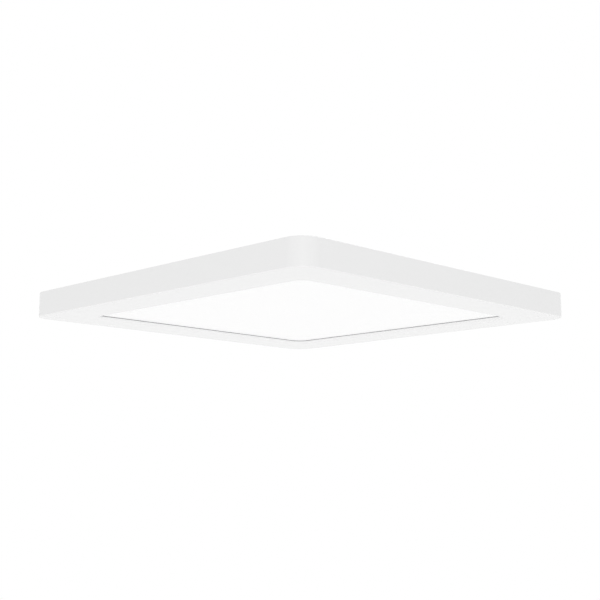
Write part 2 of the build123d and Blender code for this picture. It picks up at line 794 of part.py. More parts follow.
terminal_pad.part.label = "terminal_pad"
export_step(terminal_pad.part, "parts/terminal_pad.step")

with BuildPart() as terminal_block:
    with BuildSketch(Plane.XY.offset(terminal_bottom)):
        RectangleRounded(terminal_width, terminal_length, terminal_front_wall)
    extrude(amount=terminal_height)
    for pole_x in poles.values():
        with Locations((pole_x, hub_pocket_front, terminal_top)):
            Box(
                lever_slot,
                hub_pocket_length,
                hub_pocket_depth,
                align=(Align.CENTER, Align.MIN, Align.MAX),
                mode=Mode.SUBTRACT,
            )
            Box(
                lever_slot,
                terminal_length,
                arm_pocket_depth,
                align=(Align.CENTER, Align.MIN, Align.MAX),
                mode=Mode.SUBTRACT,
            )
        with Locations((pole_x, pivot_y, pivot_z)):
            pin_hole_length = lever_slot + 2 * (lever_pin_reach + lever_pin_fit)
            Cylinder(
                lever_pin_radius + lever_pin_fit,
                pin_hole_length,
                rotation=(0, 90, 0),
                mode=Mode.SUBTRACT,
            )
        with BuildSketch(Plane(origin=(pole_x, terminal_front, wire_entry_height), z_dir=(0, 1, 0))):
            Circle(wire_entry_radius)
        extrude(amount=wire_entry_depth, mode=Mode.SUBTRACT)
        with BuildSketch(Plane(origin=(pole_x, terminal_back, lead_height), z_dir=(0, -1, 0))):
            Circle(lead_radius + lead_fit)
        extrude(amount=lead_socket_depth, mode=Mode.SUBTRACT)

terminal_block.part.label = "terminal_block"
export_step(terminal_block.part, "parts/terminal_block.step")

for pole_name, pole_x in poles.items():
    with BuildPart() as wire_lever:
        with Locations((pole_x, pivot_y, pivot_z)):
            Cylinder(lever_hub_radius, lever_width, rotation=(0, 90, 0))
            Cylinder(lever_pin_radius, lever_slot + 2 * lever_pin_reach, rotation=(0, 90, 0))
        with Locations((pole_x, pivot_y, terminal_top)):
            Box(
                lever_width,
                lever_tip - pivot_y,
                lever_thickness,
                align=(Align.CENTER, Align.MIN, Align.MAX),
            )
        tip_edges = wire_lever.faces().sort_by(Axis.Y)[-1].edges().filter_by(Axis.X)
        fillet(tip_edges, lever_thickness / 3)
    wire_lever.part.label = f"wire_lever_{pole_name}"
    export_step(wire_lever.part, f"parts/wire_lever_{pole_name}.step")

# Leads from the terminal block: line and neutral into the driver housing
lead_start = terminal_back - lead_socket_depth + lead_fit
lead_stop = housing_front + housing_wall + lead_inside_housing
lead_first_turn = terminal_back + lead_bend
lead_last_turn = housing_front - lead_bend
supply_runs = {"neutral": neutral_inlet_x, "line": line_inlet_x}
for pole_name, inlet_x in supply_runs.items():
    pole_x = poles[pole_name]
    with BuildPart() as supply_lead:
        supply_points = [
            (pole_x, lead_start, lead_height),
            (pole_x, lead_first_turn, lead_height),
            (inlet_x, lead_last_turn, lead_height),
            (inlet_x, lead_stop, lead_height),
        ]
        lead_along(supply_points, lead_radius, lead_bend)
    supply_lead.part.label = f"lead_{pole_name}"
    export_step(supply_lead.part, f"parts/lead_{pole_name}.step")

# Earth lead, crimped in a ring terminal that its screw holds on the chassis plate
barrel_back = earth_x + screw_head_radius + earth_barrel_gap
barrel_front = barrel_back + earth_barrel_length
with BuildPart() as lead_earth:
    earth_points = [
        (poles["earth"], lead_start, lead_height),
        (poles["earth"], earth_y, lead_height),
        (barrel_back + lead_fit, earth_y, lead_height),
    ]
    lead_along(earth_points, lead_radius, lead_bend)

lead_earth.part.label = "lead_earth"
export_step(lead_earth.part, "parts/lead_earth.step")

with BuildPart() as earth_ring:
    with BuildSketch(Plane.XY.offset(earth_ring_bottom)):
        with Locations((earth_x, earth_y)):
            Circle(earth_ring_radius)
        with Locations(((earth_x + barrel_front) / 2, earth_y)):
            Rectangle(barrel_front - earth_x, 2 * lead_radius)
        with Locations((earth_x, earth_y)):
            Circle(screw_hole_radius, mode=Mode.SUBTRACT)
    extrude(amount=earth_ring_thickness)
    with BuildSketch(Plane(origin=(barrel_back, earth_y, lead_height), z_dir=(1, 0, 0))):
        Circle(lead_radius + earth_barrel_wall)
    extrude(amount=earth_barrel_length)
    with BuildSketch(Plane(origin=(barrel_back, earth_y, lead_height), z_dir=(1, 0, 0))):
        Circle(lead_radius + lead_fit)
    extrude(amount=earth_barrel_length, mode=Mode.SUBTRACT)

earth_ring.part.label = "earth_ring"
export_step(earth_ring.part, "parts/earth_ring.step")

with BuildPart() as earth_screw:
    ring_top = earth_ring_bottom + earth_ring_thickness
    pan_head_screws([(earth_x, earth_y)], ring_top, ring_top - chassis_top)

earth_screw.part.label = "earth_screw"
export_step(earth_screw.part, "parts/earth_screw.step")

# LED leads: three side by side along the chassis plate, then down through the grommet
low_height = chassis_top + grommet_flange + led_lead_radius + lead_fit
led_start_x = -housing_length / 2 + housing_wall + lead_inside_housing
drop_start_x = -housing_length / 2 - led_lead_bend
drop_end_x = drop_start_x - led_lead_drop_run
led_leads = {"warm": -1, "common": 0, "cool": 1}
for tone_name, place in led_leads.items():
    shift = place * led_lead_pitch
    turn_x = -led_outlet_y + shift * (sqrt(2) - 1)
    corner_x = -grommet_distance + shift / sqrt(2)
    corner_y = grommet_distance + shift / sqrt(2)
    with BuildPart() as led_lead:
        led_points = [
            (led_start_x, led_outlet_y + shift, led_lead_height),
            (drop_start_x, led_outlet_y + shift, led_lead_height),
            (drop_end_x, led_outlet_y + shift, low_height),
            (turn_x, led_outlet_y + shift, low_height),
            (corner_x, corner_y, low_height),
            (corner_x, corner_y, bezel_top + connector_height),
        ]
        lead_along(led_points, led_lead_radius, led_lead_bend)
    led_lead.part.label = f"led_lead_{tone_name}"
    export_step(led_lead.part, f"parts/led_lead_{tone_name}.step")

with BuildPart() as lead_grommet:
    with BuildSketch(Plane.XY.offset(chassis_bottom - grommet_flange)):
        with Locations((-grommet_distance, grommet_distance)):
            Circle(grommet_outer_radius - lead_fit / 2)
    extrude(amount=chassis_thickness + 2 * grommet_flange)
    with BuildSketch(Plane.XY.offset(chassis_bottom - grommet_flange), Plane.XY.offset(chassis_top)):
        with Locations((-grommet_distance, grommet_distance)):
            Circle(grommet_flange_radius)
    extrude(amount=grommet_flange)
    with Locations((-grommet_distance, grommet_distance, chassis_top)):
        Hole(grommet_bore_radius)

lead_grommet.part.label = "lead_grommet"
export_step(lead_grommet.part, "parts/lead_grommet.step")

# Saddle clip that holds the LED leads down on the chassis plate
clip_channel = 2 * (led_lead_pitch + led_lead_radius + lead_fit)
clip_rise = low_height + led_lead_radius + lead_fit - chassis_top
clip_plane = Plane(origin=(-clip_distance, clip_distance, chassis_top), x_dir=(-1, 1, 0), z_dir=(0, 0, 1))
with BuildPart(clip_plane) as lead_clip:
    Box(clip_length, clip_width, clip_rise + clip_wall, align=(Align.CENTER, Align.CENTER, Align.MIN))
    Box(
        clip_length,
        clip_channel,
        clip_rise,
        align=(Align.CENTER, Align.CENTER, Align.MIN),
        mode=Mode.SUBTRACT,
    )
    fillet(lead_clip.faces().sort_by(Axis.Z)[-1].edges(), clip_wall / 2)

lead_clip.part.label = "lead_clip"
export_step(lead_clip.part, "parts/lead_clip.step")
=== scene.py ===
import bpy
import bmesh
import json
import math
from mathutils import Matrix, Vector


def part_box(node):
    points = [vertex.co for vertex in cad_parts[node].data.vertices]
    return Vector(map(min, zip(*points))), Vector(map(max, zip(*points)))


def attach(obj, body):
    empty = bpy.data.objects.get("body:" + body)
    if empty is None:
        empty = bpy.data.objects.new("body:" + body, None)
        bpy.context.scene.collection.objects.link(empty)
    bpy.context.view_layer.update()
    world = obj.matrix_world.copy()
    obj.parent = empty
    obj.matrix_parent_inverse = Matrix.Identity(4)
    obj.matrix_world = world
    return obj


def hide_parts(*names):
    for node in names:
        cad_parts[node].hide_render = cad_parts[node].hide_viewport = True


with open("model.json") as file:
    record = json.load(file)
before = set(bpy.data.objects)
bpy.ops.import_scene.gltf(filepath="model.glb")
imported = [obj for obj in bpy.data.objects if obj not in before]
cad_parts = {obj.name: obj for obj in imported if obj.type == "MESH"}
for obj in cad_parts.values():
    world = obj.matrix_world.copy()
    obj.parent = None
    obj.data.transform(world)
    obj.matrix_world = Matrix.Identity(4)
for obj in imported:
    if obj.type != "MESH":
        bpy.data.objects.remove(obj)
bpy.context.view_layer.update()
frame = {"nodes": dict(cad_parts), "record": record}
cadNodes = frame["nodes"]
mm = 0.001
print("frame loaded:", len(cadNodes), "nodes")


class Signal:
    # one output of a node tree, which can be written into sums
    def __init__(self, tree, socket=None):
        self.tree = tree
        self.socket = socket

    def pick(self, sockets, key):
        if isinstance(key, int):
            return sockets[key]
        return next(socket for socket in sockets if socket.name == key and socket.enabled)

    def node(self, kind, inputs=None, output=0, **settings):
        # any node but a sum: what goes in, the output to go on with, and its settings
        made = self.tree.nodes.new(kind)
        for name, value in settings.items():
            setattr(made, name, value)
        for name, value in (inputs or {}).items():
            socket = self.pick(made.inputs, name)
            for one in value if isinstance(value, list) else [value]:
                if isinstance(one, Signal):
                    self.tree.links.new(one.socket, socket)
                else:
                    socket.default_value = one
        return Signal(self.tree, self.pick(made.outputs, output) if made.outputs else None)

    def beside(self, output):
        # another output of the same node
        return Signal(self.tree, self.socket.node.outputs[output])

    def maths(self, operation, *values, clamp=False):
        inputs = dict(enumerate(values))
        return self.node("ShaderNodeMath", inputs, operation=operation, use_clamp=clamp)

    def __add__(self, other):
        return self.maths("ADD", self, other)

    def __sub__(self, other):
        return self.maths("SUBTRACT", self, other)

    def __rsub__(self, other):
        return self.maths("SUBTRACT", other, self)

    def __mul__(self, other):
        return self.maths("MULTIPLY", self, other)

    def __truediv__(self, other):
        return self.maths("DIVIDE", self, other)

    def __rtruediv__(self, other):
        return self.maths("DIVIDE", other, self)

    def __mod__(self, other):
        return self.maths("MODULO", self, other)

    __radd__ = __add__
    __rmul__ = __mul__

    def above(self, level, soft):
        # 0 below the level, 1 above it, with a soft step
        return self.maths("ADD", (self - level) / soft, 0.5, clamp=True)

    def swing(self, size):
        # a 0 to 1 signal as a change to either side of zero
        return (self - 0.5) * size

    def bigger(self, other):
        return self.maths("MAXIMUM", self, other)

    def smaller(self, other):
        return self.maths("MINIMUM", self, other)

    def whole(self):
        return self.maths("FLOOR", self)

    def size(self):
        return self.maths("ABSOLUTE", self)

    def sine(self):
        return self.maths("SINE", self)

    def cosine(self):
        return self.maths("COSINE", self)

    def parts(self):
        return [self.node("ShaderNodeSeparateXYZ", {"Vector": self}, axis) for axis in "XYZ"]

    def point(self, x, y, z):
        return self.node("ShaderNodeCombineXYZ", {"X": x, "Y": y, "Z": z})


def noiseOf(place, cellSize, detail=2.0, roughness=0.5):
    # grey noise whose blobs are about cellSize metres across
    inputs = {"Vector": place, "Scale": 1 / cellSize, "Detail": detail, "Roughness": roughness}
    return place.node("ShaderNodeTexNoise", inputs, "Fac")


def cellsOf(place, cellSize, output="Distance", randomness=1.0, **settings):
    # cells about cellSize metres across, in a square grid where randomness is 0
    inputs = {"Vector": place, "Scale": 1 / cellSize, "Randomness": randomness}
    return place.node("ShaderNodeTexVoronoi", inputs, output, **settings)


def channelOf(colour, channel):
    return colour.node("ShaderNodeSeparateColor", {"Color": colour}, channel)


def blendOf(share, first, second):
    # two colours mixed by a 0 to 1 share
    inputs = {"Factor": share, "A": first, "B": second}
    return share.node("ShaderNodeMix", inputs, "Result", data_type="RGBA")


def bumpOf(height, distance):
    return height.node("ShaderNodeBump", {"Height": height, "Distance": distance})


def stretched(place, scale):
    return place.node("ShaderNodeMapping", {"Vector": place, "Scale": scale})


def shade(colour, factor):
    return tuple(min(1.0, c * factor) for c in colour[:3]) + (1.0,)


def tonesOf(share, colour, factors):
    # a colour that drifts between a darker and a lighter shade of itself
    darker, lighter = factors
    return blendOf(share, shade(colour, darker), shade(colour, lighter))


wearSet = {"level": 0.5, "soft": 0.3}


def wearOf(place, patchSize):
    # patches of wear on the bevelled corners, which carry the mark
    mark = place.node("ShaderNodeAttribute", output="Fac", attribute_name="worn")
    patches = noiseOf(place, patchSize, detail=3.0, roughness=0.6)
    return mark * patches.above(wearSet["level"], wearSet["soft"])


def newFinish(name, constants, varying):
    # a Principled material: constants on its own sockets, signals linked to the rest
    material = bpy.data.materials.new(name)
    material.use_nodes = True
    tree = material.node_tree
    shader = tree.nodes["Principled BSDF"]
    for socket, value in constants.items():
        shader.inputs[socket].default_value = value
    place = Signal(tree).node("ShaderNodeTexCoord", output="Object")
    for socket, signal in varying(place).items():
        tree.links.new(signal.socket, shader.inputs[socket])
    return material


shellSet = {
    "colour": (0.9, 0.9, 0.9),
    "tones": (0.992, 1.004),
    "grain": 0.45 * mm,
    "grainDepth": 0.012 * mm,
    "flow": 26 * mm,
    "roughness": 0.25,
    "flowSheen": 0.08,
    "grainSheen": 0.06,
}


def shellLook(place):
    # white moulding: a fine grain, and a slow change of tone and sheen
    sets = shellSet
    grain = noiseOf(place, sets["grain"], detail=3.0, roughness=0.6)
    flow = noiseOf(place, sets["flow"])
    sheen = sets["roughness"] + flow.swing(sets["flowSheen"])
    return {
        "Base Color": tonesOf(flow, sets["colour"], sets["tones"]),
        "Roughness": sheen + grain.swing(sets["grainSheen"]),
        "Normal": bumpOf(grain, sets["grainDepth"]),
    }


opalSet = {
    "colour": (0.93, 0.93, 0.93),
    "tones": (0.997, 1.002),
    "glow": 0.09,
    "grain": 0.22 * mm,
    "grainDepth": 0.003 * mm,
    "cloud": 60 * mm,
    "roughness": 0.5,
    "grainSheen": 0.08,
}


def opalLook(place):
    # opal sheet: nearly even, with a satin grain
    grain = noiseOf(place, opalSet["grain"])
    cloud = noiseOf(place, opalSet["cloud"], detail=1.0)
    return {
        "Base Color": tonesOf(cloud, opalSet["colour"], opalSet["tones"]),
        "Roughness": opalSet["roughness"] + grain.swing(opalSet["grainSheen"]),
        "Normal": bumpOf(grain, opalSet["grainDepth"]),
    }


mouldedSet = {
    "tones": (0.93, 1.05),
    "grain": 0.4 * mm,
    "grainDepth": 0.01 * mm,
    "flow": 9 * mm,
    "wearPatch": 2 * mm,
    "wearShare": 0.6,
    "wornKeeps": 0.8,
    "wornLift": 0.14,
    "flowSheen": 0.12,
    "grainSheen": 0.1,
    "wearSheen": 0.12,
}


def mouldedLook(colour, roughness):
    # small moulded parts: fine spark texture, a slow sheen change and paler worn corners
    sets = mouldedSet
    worn = shade([c * sets["wornKeeps"] + sets["wornLift"] for c in colour], 1)

    def look(place):
        grain = noiseOf(place, sets["grain"], detail=3.0, roughness=0.55)
        flow = noiseOf(place, sets["flow"])
        rubbed = wearOf(place, sets["wearPatch"])
        plain = tonesOf(flow, colour, sets["tones"])
        sheen = roughness + flow.swing(sets["flowSheen"]) + grain.swing(sets["grainSheen"])
        return {
            "Base Color": blendOf(rubbed * sets["wearShare"], plain, worn),
            "Roughness": sheen - rubbed * sets["wearSheen"],
            "Normal": bumpOf(grain, sets["grainDepth"]),
        }
    return look


zincSheetSet = {
    "light": (0.73, 0.745, 0.76, 1),
    "dark": (0.62, 0.635, 0.655, 1),
    "cutEdge": (0.56, 0.55, 0.54, 1),
    "spangle": 3.6 * mm,
    "wobble": 2 * mm,
    "wobbleSize": 3 * mm,
    "rolling": (1.0, 0.03, 1.0),
    "scratch": 0.5 * mm,
    "wearPatch": 3 * mm,
    "coatTone": 0.8,
    "coatMarks": 0.2,
    "roughness": 0.34,
    "crystalSheen": 0.12,
    "marksSheen": 0.14,
    "wearSheen": 0.1,
    "reliefMarks": 0.4,
    "reliefTone": 0.6,
    "relief": 0.006 * mm,
}


def zincSheetLook(place):
    # hot dip spangle: each crystal has its own tone and sheen, with rolling marks over them
    sets = zincSheetSet
    wobble = noiseOf(place, sets["wobbleSize"]) * sets["wobble"]
    shift = {0: place, 1: place.point(wobble, wobble, 0.0)}
    shifted = place.node("ShaderNodeVectorMath", shift, operation="ADD")
    crystal = cellsOf(shifted, sets["spangle"], "Color")
    tone, sheen = channelOf(crystal, "Red"), channelOf(crystal, "Green")
    marks = noiseOf(stretched(place, sets["rolling"]), sets["scratch"], detail=4.0, roughness=0.7)
    rubbed = wearOf(place, sets["wearPatch"])
    coat = blendOf(tone * sets["coatTone"] + marks * sets["coatMarks"], sets["dark"], sets["light"])
    gloss = sets["roughness"] + sheen * sets["crystalSheen"] + marks.swing(sets["marksSheen"])
    return {
        "Base Color": blendOf(rubbed, coat, sets["cutEdge"]),
        "Roughness": gloss - rubbed * sets["wearSheen"],
        "Normal": bumpOf(marks * sets["reliefMarks"] + tone * sets["reliefTone"], sets["relief"]),
    }


powderSet = {
    "colour": (0.86, 0.86, 0.85),
    "tones": (0.965, 1.02),
    "thin": (0.66, 0.66, 0.65, 1),
    "peel": 1.3 * mm,
    "peelShare": 0.85,
    "peelDepth": 0.06 * mm,
    "speckle": 0.25 * mm,
    "speckleShare": 0.15,
    "smear": 45 * mm,
    "wearPatch": 4 * mm,
    "wearShare": 0.55,
    "roughness": 0.32,
    "smearSheen": 0.14,
    "speckleSheen": 0.08,
}


def powderLook(place):
    # powder coat on sheet steel: orange peel with a fine speckle, thin on the corners
    sets = powderSet
    peel = noiseOf(place, sets["peel"], detail=1.0)
    speckle = noiseOf(place, sets["speckle"])
    smear = noiseOf(place, sets["smear"], detail=3.0)
    rubbed = wearOf(place, sets["wearPatch"])
    colour = tonesOf(smear, sets["colour"], sets["tones"])
    skin = peel * sets["peelShare"] + speckle * sets["speckleShare"]
    sheen = sets["roughness"] + smear.swing(sets["smearSheen"])
    return {
        "Base Color": blendOf(rubbed * sets["wearShare"], colour, sets["thin"]),
        "Roughness": sheen + speckle.swing(sets["speckleSheen"]),
        "Normal": bumpOf(skin, sets["peelDepth"]),
    }


platedSet = {
    "tones": (0.82, 1.1),
    "stain": 2.2 * mm,
    "turning": (1, 1, 0.15),
    "scratch": 0.25 * mm,
    "scratchDepth": 0.006 * mm,
    "roughness": 0.28,
    "scratchSheen": 0.25,
    "stainSheen": 0.12,
}


def platedLook(colour):
    # zinc or tin plating with turning marks and a faint stain
    sets = platedSet

    def look(place):
        stain = noiseOf(place, sets["stain"], detail=3.0)
        turning = stretched(place, sets["turning"])
        marks = noiseOf(turning, sets["scratch"], detail=3.0, roughness=0.7)
        sheen = sets["roughness"] + marks.swing(sets["scratchSheen"])
        return {
            "Base Color": tonesOf(stain, colour, sets["tones"]),
            "Roughness": sheen + stain.swing(sets["stainSheen"]),
            "Normal": bumpOf(marks, sets["scratchDepth"]),
        }
    return look


foamSet = {
    # the colour at the bottom of each cell, darkened as painted shade in the hollow
    "open": (0.2, 0.2, 0.21, 1),
    "skin": (0.4, 0.4, 0.415, 1),
    "cell": 0.55 * mm,
    "cellDepth": 0.12 * mm,
    "rimReach": 1.6,
    "cellShadeShare": 0.7,
    "uneven": 6 * mm,
    "unevenShare": 0.3,
    "roughness": 0.86,
    "unevenSheen": 0.1,
}


def foamLook(place):
    # closed-cell foam: paler cell walls, with painted shade darkening the hollow of each cell
    sets = foamSet
    rim = (cellsOf(place, sets["cell"]) * sets["rimReach"]).smaller(1.0)
    uneven = noiseOf(place, sets["uneven"])
    # the cells darken towards their middles: painted shade in the hollows, with a random unevenness
    # over it
    tone = rim * sets["cellShadeShare"] + uneven * sets["unevenShare"]
    return {
        "Base Color": blendOf(tone, sets["open"], sets["skin"]),
        "Roughness": sets["roughness"] + uneven.swing(sets["unevenSheen"]),
        "Normal": bumpOf(rim, sets["cellDepth"]),
    }


guideSet = {
    "clear": (0.92, 0.96, 0.97, 1),
    "etched": (0.97, 0.98, 0.98, 1),
    "dotPitch": 2.4 * mm,
    "dotSize": 0.3,
    "dotSoft": 0.06,
    "dotDepth": 0.01 * mm,
    "haze": 20 * mm,
    "roughness": 0.05,
    "dotSheen": 0.5,
    "hazeSheen": 0.03,
}


def guideLook(place):
    # clear sheet with a grid of etched dots that let the light out
    sets = guideSet
    grid = cellsOf(place, sets["dotPitch"], randomness=0.0)
    dot = 1 - grid.above(sets["dotSize"], sets["dotSoft"])
    haze = noiseOf(place, sets["haze"])
    return {
        "Base Color": blendOf(dot, sets["clear"], sets["etched"]),
        "Roughness": sets["roughness"] + dot * sets["dotSheen"] + haze * sets["hazeSheen"],
        "Normal": bumpOf(dot, sets["dotDepth"]),
    }


fuseSet = {
    "glass": (0.86, 0.9, 0.9, 1),
    "cap": (0.78, 0.77, 0.74, 1),
    "capLength": 1.6 * mm,
    "capSoft": 0.1 * mm,
    "smear": 1.5 * mm,
    "roughness": 0.06,
    "capSheen": 0.22,
    "smearSheen": 0.05,
}


def fuseLook(place):
    # clear tube with a pressed metal cap at either end
    sets = fuseSet
    low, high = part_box("fuse")
    along = place.parts()[0]
    middle, half = (low.x + high.x) / 2, (high.x - low.x) / 2
    cap = (along - middle).size().above(half - sets["capLength"], sets["capSoft"])
    smear = noiseOf(place, sets["smear"], detail=3.0)
    return {
        "Base Color": blendOf(cap, sets["glass"], sets["cap"]),
        "Metallic": cap,
        "Roughness": sets["roughness"] + cap * sets["capSheen"] + smear * sets["smearSheen"],
    }


barSet = {
    "mask": (0.88, 0.88, 0.86, 1),
    "track": (0.93, 0.93, 0.91, 1),
    "along": (1, 1, 0.2),
    "trackSize": 2.5 * mm,
    "trackDepth": 0.03 * mm,
    "level": 0.5,
    "soft": 0.06,
    "roughness": 0.34,
    "trackSheen": 0.08,
}


def barLook(place):
    # white solder mask on aluminium, with the copper tracks showing through as faint steps
    tracks = noiseOf(stretched(place, barSet["along"]), barSet["trackSize"])
    step = tracks.above(barSet["level"], barSet["soft"])
    return {
        "Base Color": blendOf(step, barSet["mask"], barSet["track"]),
        "Roughness": barSet["roughness"] + step * barSet["trackSheen"],
        "Normal": bumpOf(step, barSet["trackDepth"]),
    }


boardSet = {
    "mask": (0.035, 0.2, 0.09, 1),
    "track": (0.08, 0.38, 0.17, 1),
    "tin": (0.72, 0.7, 0.62, 1),
    "block": 4 * mm,
    "routed": 0.55,
    "padPitch": 3.1 * mm,
    "padSize": 0.22,
    "soft": 0.04,
    "roughness": 0.32,
    "trackSheen": 0.1,
    "relief": 0.04 * mm,
}


def boardLook(place):
    # green mask over copper: the routed copper as blocky cells, the pads as dots
    sets = boardSet
    blocks = cellsOf(place, sets["block"], "Color", distance="MANHATTAN")
    route = channelOf(blocks, "Red").above(sets["routed"], sets["soft"])
    pad = 1 - cellsOf(place, sets["padPitch"]).above(sets["padSize"], sets["soft"])
    return {
        "Base Color": blendOf(pad, blendOf(route, sets["mask"], sets["track"]), sets["tin"]),
        "Roughness": sets["roughness"] + route * sets["trackSheen"],
        "Normal": bumpOf(route + pad, sets["relief"]),
    }


leadSet = {
    "tones": (0.8, 1.12),
    "scuff": 4 * mm,
    "skin": 0.35 * mm,
    "skinDepth": 0.02 * mm,
    "roughness": 0.4,
    "scuffSheen": 0.2,
    "skinSheen": 0.1,
}


def leadLook(colour):
    # extruded insulation: a fine skin and a soft scuff
    sets = leadSet

    def look(place):
        scuff = noiseOf(place, sets["scuff"], detail=3.0)
        skin = noiseOf(place, sets["skin"])
        sheen = sets["roughness"] + scuff.swing(sets["scuffSheen"])
        return {
            "Base Color": tonesOf(scuff, colour, sets["tones"]),
            "Roughness": sheen + skin.swing(sets["skinSheen"]),
            "Normal": bumpOf(skin, sets["skinDepth"]),
        }
    return look


filmSet = {
    "size": 30 * mm, "low": (0.91, 0.91, 0.91, 1), "high": (0.95, 0.95, 0.95, 1),
    "sheen": (0.3, 0.45), "depth": 0.4 * mm,
}
phosphorSet = {
    "size": 0.6 * mm, "low": (0.9, 0.74, 0.24, 1), "high": (0.95, 0.84, 0.4, 1),
    "sheen": (0.3, 0.5),
}
ferriteSet = {
    "size": 0.3 * mm, "low": (0.06, 0.06, 0.065, 1), "high": (0.13, 0.13, 0.135, 1),
    "sheen": (0.4, 0.7), "depth": 0.05 * mm, "detail": 4.0, "roughness": 0.7,
}
sleeveSet = {
    "size": 1.6 * mm, "low": (0.06, 0.06, 0.1, 1), "high": (0.11, 0.11, 0.16, 1),
    "sheen": (0.22, 0.38), "depth": 0.06 * mm, "stretch": (0.3, 1, 1),
}


def noiseLook(size, low, high, sheen, depth=None, stretch=(1, 1, 1), **noise):
    # plain materials, where one noise moves the tone, the sheen and the relief together
    def look(place):
        tone = noiseOf(stretched(place, stretch), size, **noise)
        varying = {
            "Base Color": blendOf(tone, low, high),
            "Roughness": sheen[0] + tone * (sheen[1] - sheen[0]),
        }
        if depth:
            varying["Normal"] = bumpOf(tone, depth)
        return varying
    return look


plasticSet = {
    "black_plastic": ("blackPlastic", (0.05, 0.05, 0.055), 0.48),
    "terminal_plastic": ("terminalGrey", (0.62, 0.64, 0.66), 0.3),
    "lever_plastic": ("leverPlastic", (0.85, 0.85, 0.83), 0.34),
    "connector_plastic": ("nylon", (0.88, 0.87, 0.82), 0.42),
    "ground_green": ("greenScrew", (0.05, 0.4, 0.16), 0.35),
}
leadColours = {
    "black": (0.04, 0.04, 0.045),
    "white": (0.84, 0.84, 0.82),
    "green": (0.05, 0.38, 0.14),
    "red": (0.6, 0.05, 0.05),
    "yellow": (0.78, 0.62, 0.07),
}
glowing = {"Emission Color": (1, 1, 1, 1), "Emission Strength": opalSet["glow"]}
acrylic = {"Transmission Weight": 0.9, "IOR": 1.49}
glass = {"Transmission Weight": 0.7, "IOR": 1.5}
metal = {"Metallic": 1.0}
finishes = {
    "white_shell": newFinish("whiteShell", {}, shellLook),
    "opal_diffuser": newFinish("opalDiffuser", glowing, opalLook),
    "clear_acrylic": newFinish("clearAcrylic", acrylic, guideLook),
    "white_film": newFinish("whiteFilm", {}, noiseLook(**filmSet)),
    "grey_foam": newFinish("greyFoam", {"Specular IOR Level": 0.25}, foamLook),
    "galvanised_steel": newFinish("galvanisedSteel", metal, zincSheetLook),
    "white_steel": newFinish("powderSteel", {}, powderLook),
    "zinc_screw": newFinish("zincPlate", metal, platedLook((0.72, 0.72, 0.7))),
    "copper_tin": newFinish("tinnedCopper", metal, platedLook((0.75, 0.72, 0.66))),
    "light_bar": newFinish("barMask", {}, barLook),
    "led_chip": newFinish("chipPhosphor", {}, noiseLook(**phosphorSet)),
    "green_board": newFinish("boardMask", {}, boardLook),
    "ferrite": newFinish("ferriteCore", {}, noiseLook(**ferriteSet)),
    "capacitor_sleeve": newFinish("capacitorSleeve", {}, noiseLook(**sleeveSet)),
    "fuse_glass": newFinish("fuseGlass", glass, fuseLook),
}
for slot, (name, colour, roughness) in plasticSet.items():
    finishes[slot] = newFinish(name, {}, mouldedLook(colour, roughness))
for name, colour in leadColours.items():
    finishes["lead_" + name] = newFinish("lead" + name.capitalize(), {}, leadLook(colour))
slotOf = {part["node"]: part["material_slot"] for part in frame["record"]["subparts"]}
for name, piece in cadNodes.items():
    piece.data.materials.clear()
    piece.data.materials.append(finishes[slotOf[name]])
print("finishes made:", len(finishes))


meshSet = {
    "mergeGap": 0.001 * mm,
    "seamGap": 0.002 * mm,
    "flatAngle": math.radians(0.6),
    "sharpAngle": math.radians(38),
    "bevelSegments": 2,
    "bevelShape": 0.5,
}
# faces of a box whose corners have the number 4x + 2y + z, each of x, y, z being 0 or 1
boxFaces = [(0, 1, 3, 2), (4, 6, 7, 5), (0, 4, 5, 1), (2, 3, 7, 6), (0, 2, 6, 4), (1, 5, 7, 3)]


def mergedCopy(node):
    # the CAD node's loose triangles joined into closed solids
    work = bmesh.new()
    work.from_mesh(cadNodes[node].data)
    bmesh.ops.remove_doubles(work, verts=work.verts, dist=meshSet["mergeGap"])
    return work


def solidsOf(node):
    # lowest and highest corner of each separate solid of a CAD node
    work = mergedCopy(node)
    left = set(work.verts)
    boxes = []
    for seed in work.verts:
        if seed not in left:
            continue
        left.remove(seed)
        reached, solid = [seed], []
        while reached:
            corner = reached.pop()
            solid.append(corner.co.copy())
            for edge in corner.link_edges:
                other = edge.other_vert(corner)
                if other in left:
                    left.remove(other)
                    reached.append(other)
        low = Vector([min(p[axis] for p in solid) for axis in range(3)])
        high = Vector([max(p[axis] for p in solid) for axis in range(3)])
        boxes.append((low, high))
    work.free()
    return sorted(boxes, key=lambda box: tuple(round(c, 6) for c in box[0]))


def middlesOf(boxes, height):
    # where each solid stands, at a chosen height
    return [((low.x + high.x) / 2, (low.y + high.y) / 2, height) for low, high in boxes]


def newObject(name, data):
    made = bpy.data.objects.new(name, data)
    bpy.context.scene.collection.objects.link(made)
    return made


def evaluated(holder):
    # the mesh that an object shows, with its modifiers run
    bpy.context.view_layer.update()
    live = holder.evaluated_get(bpy.context.evaluated_depsgraph_get())
    return bpy.data.meshes.new_from_object(live)


def settle(name, holder, finish=None):
    # turns an object with live modifiers into a plain smooth mesh with its sharp corners kept
    mesh = evaluated(holder)
    if finish:
        mesh.materials.clear()
        mesh.materials.append(finish)
        mesh.polygons.foreach_set("material_index", [0] * len(mesh.polygons))
    mesh.shade_smooth()
    mesh.set_sharp_from_angle(angle=meshSet["sharpAngle"])
    bpy.data.objects.remove(holder)
    piece = newObject(name + "Shape", mesh)
    piece.modifiers.new("faceNormals", "WEIGHTED_NORMAL").keep_sharp = True
    mesh = evaluated(piece)
    bpy.data.objects.remove(piece)
    mesh.name = name
    return newObject(name, mesh)


def ridesOn(piece, body, slot, *stoodFor):
    # hands a finished piece over, with the CAD nodes that it stands for
    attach(piece, body)
    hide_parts(*stoodFor)


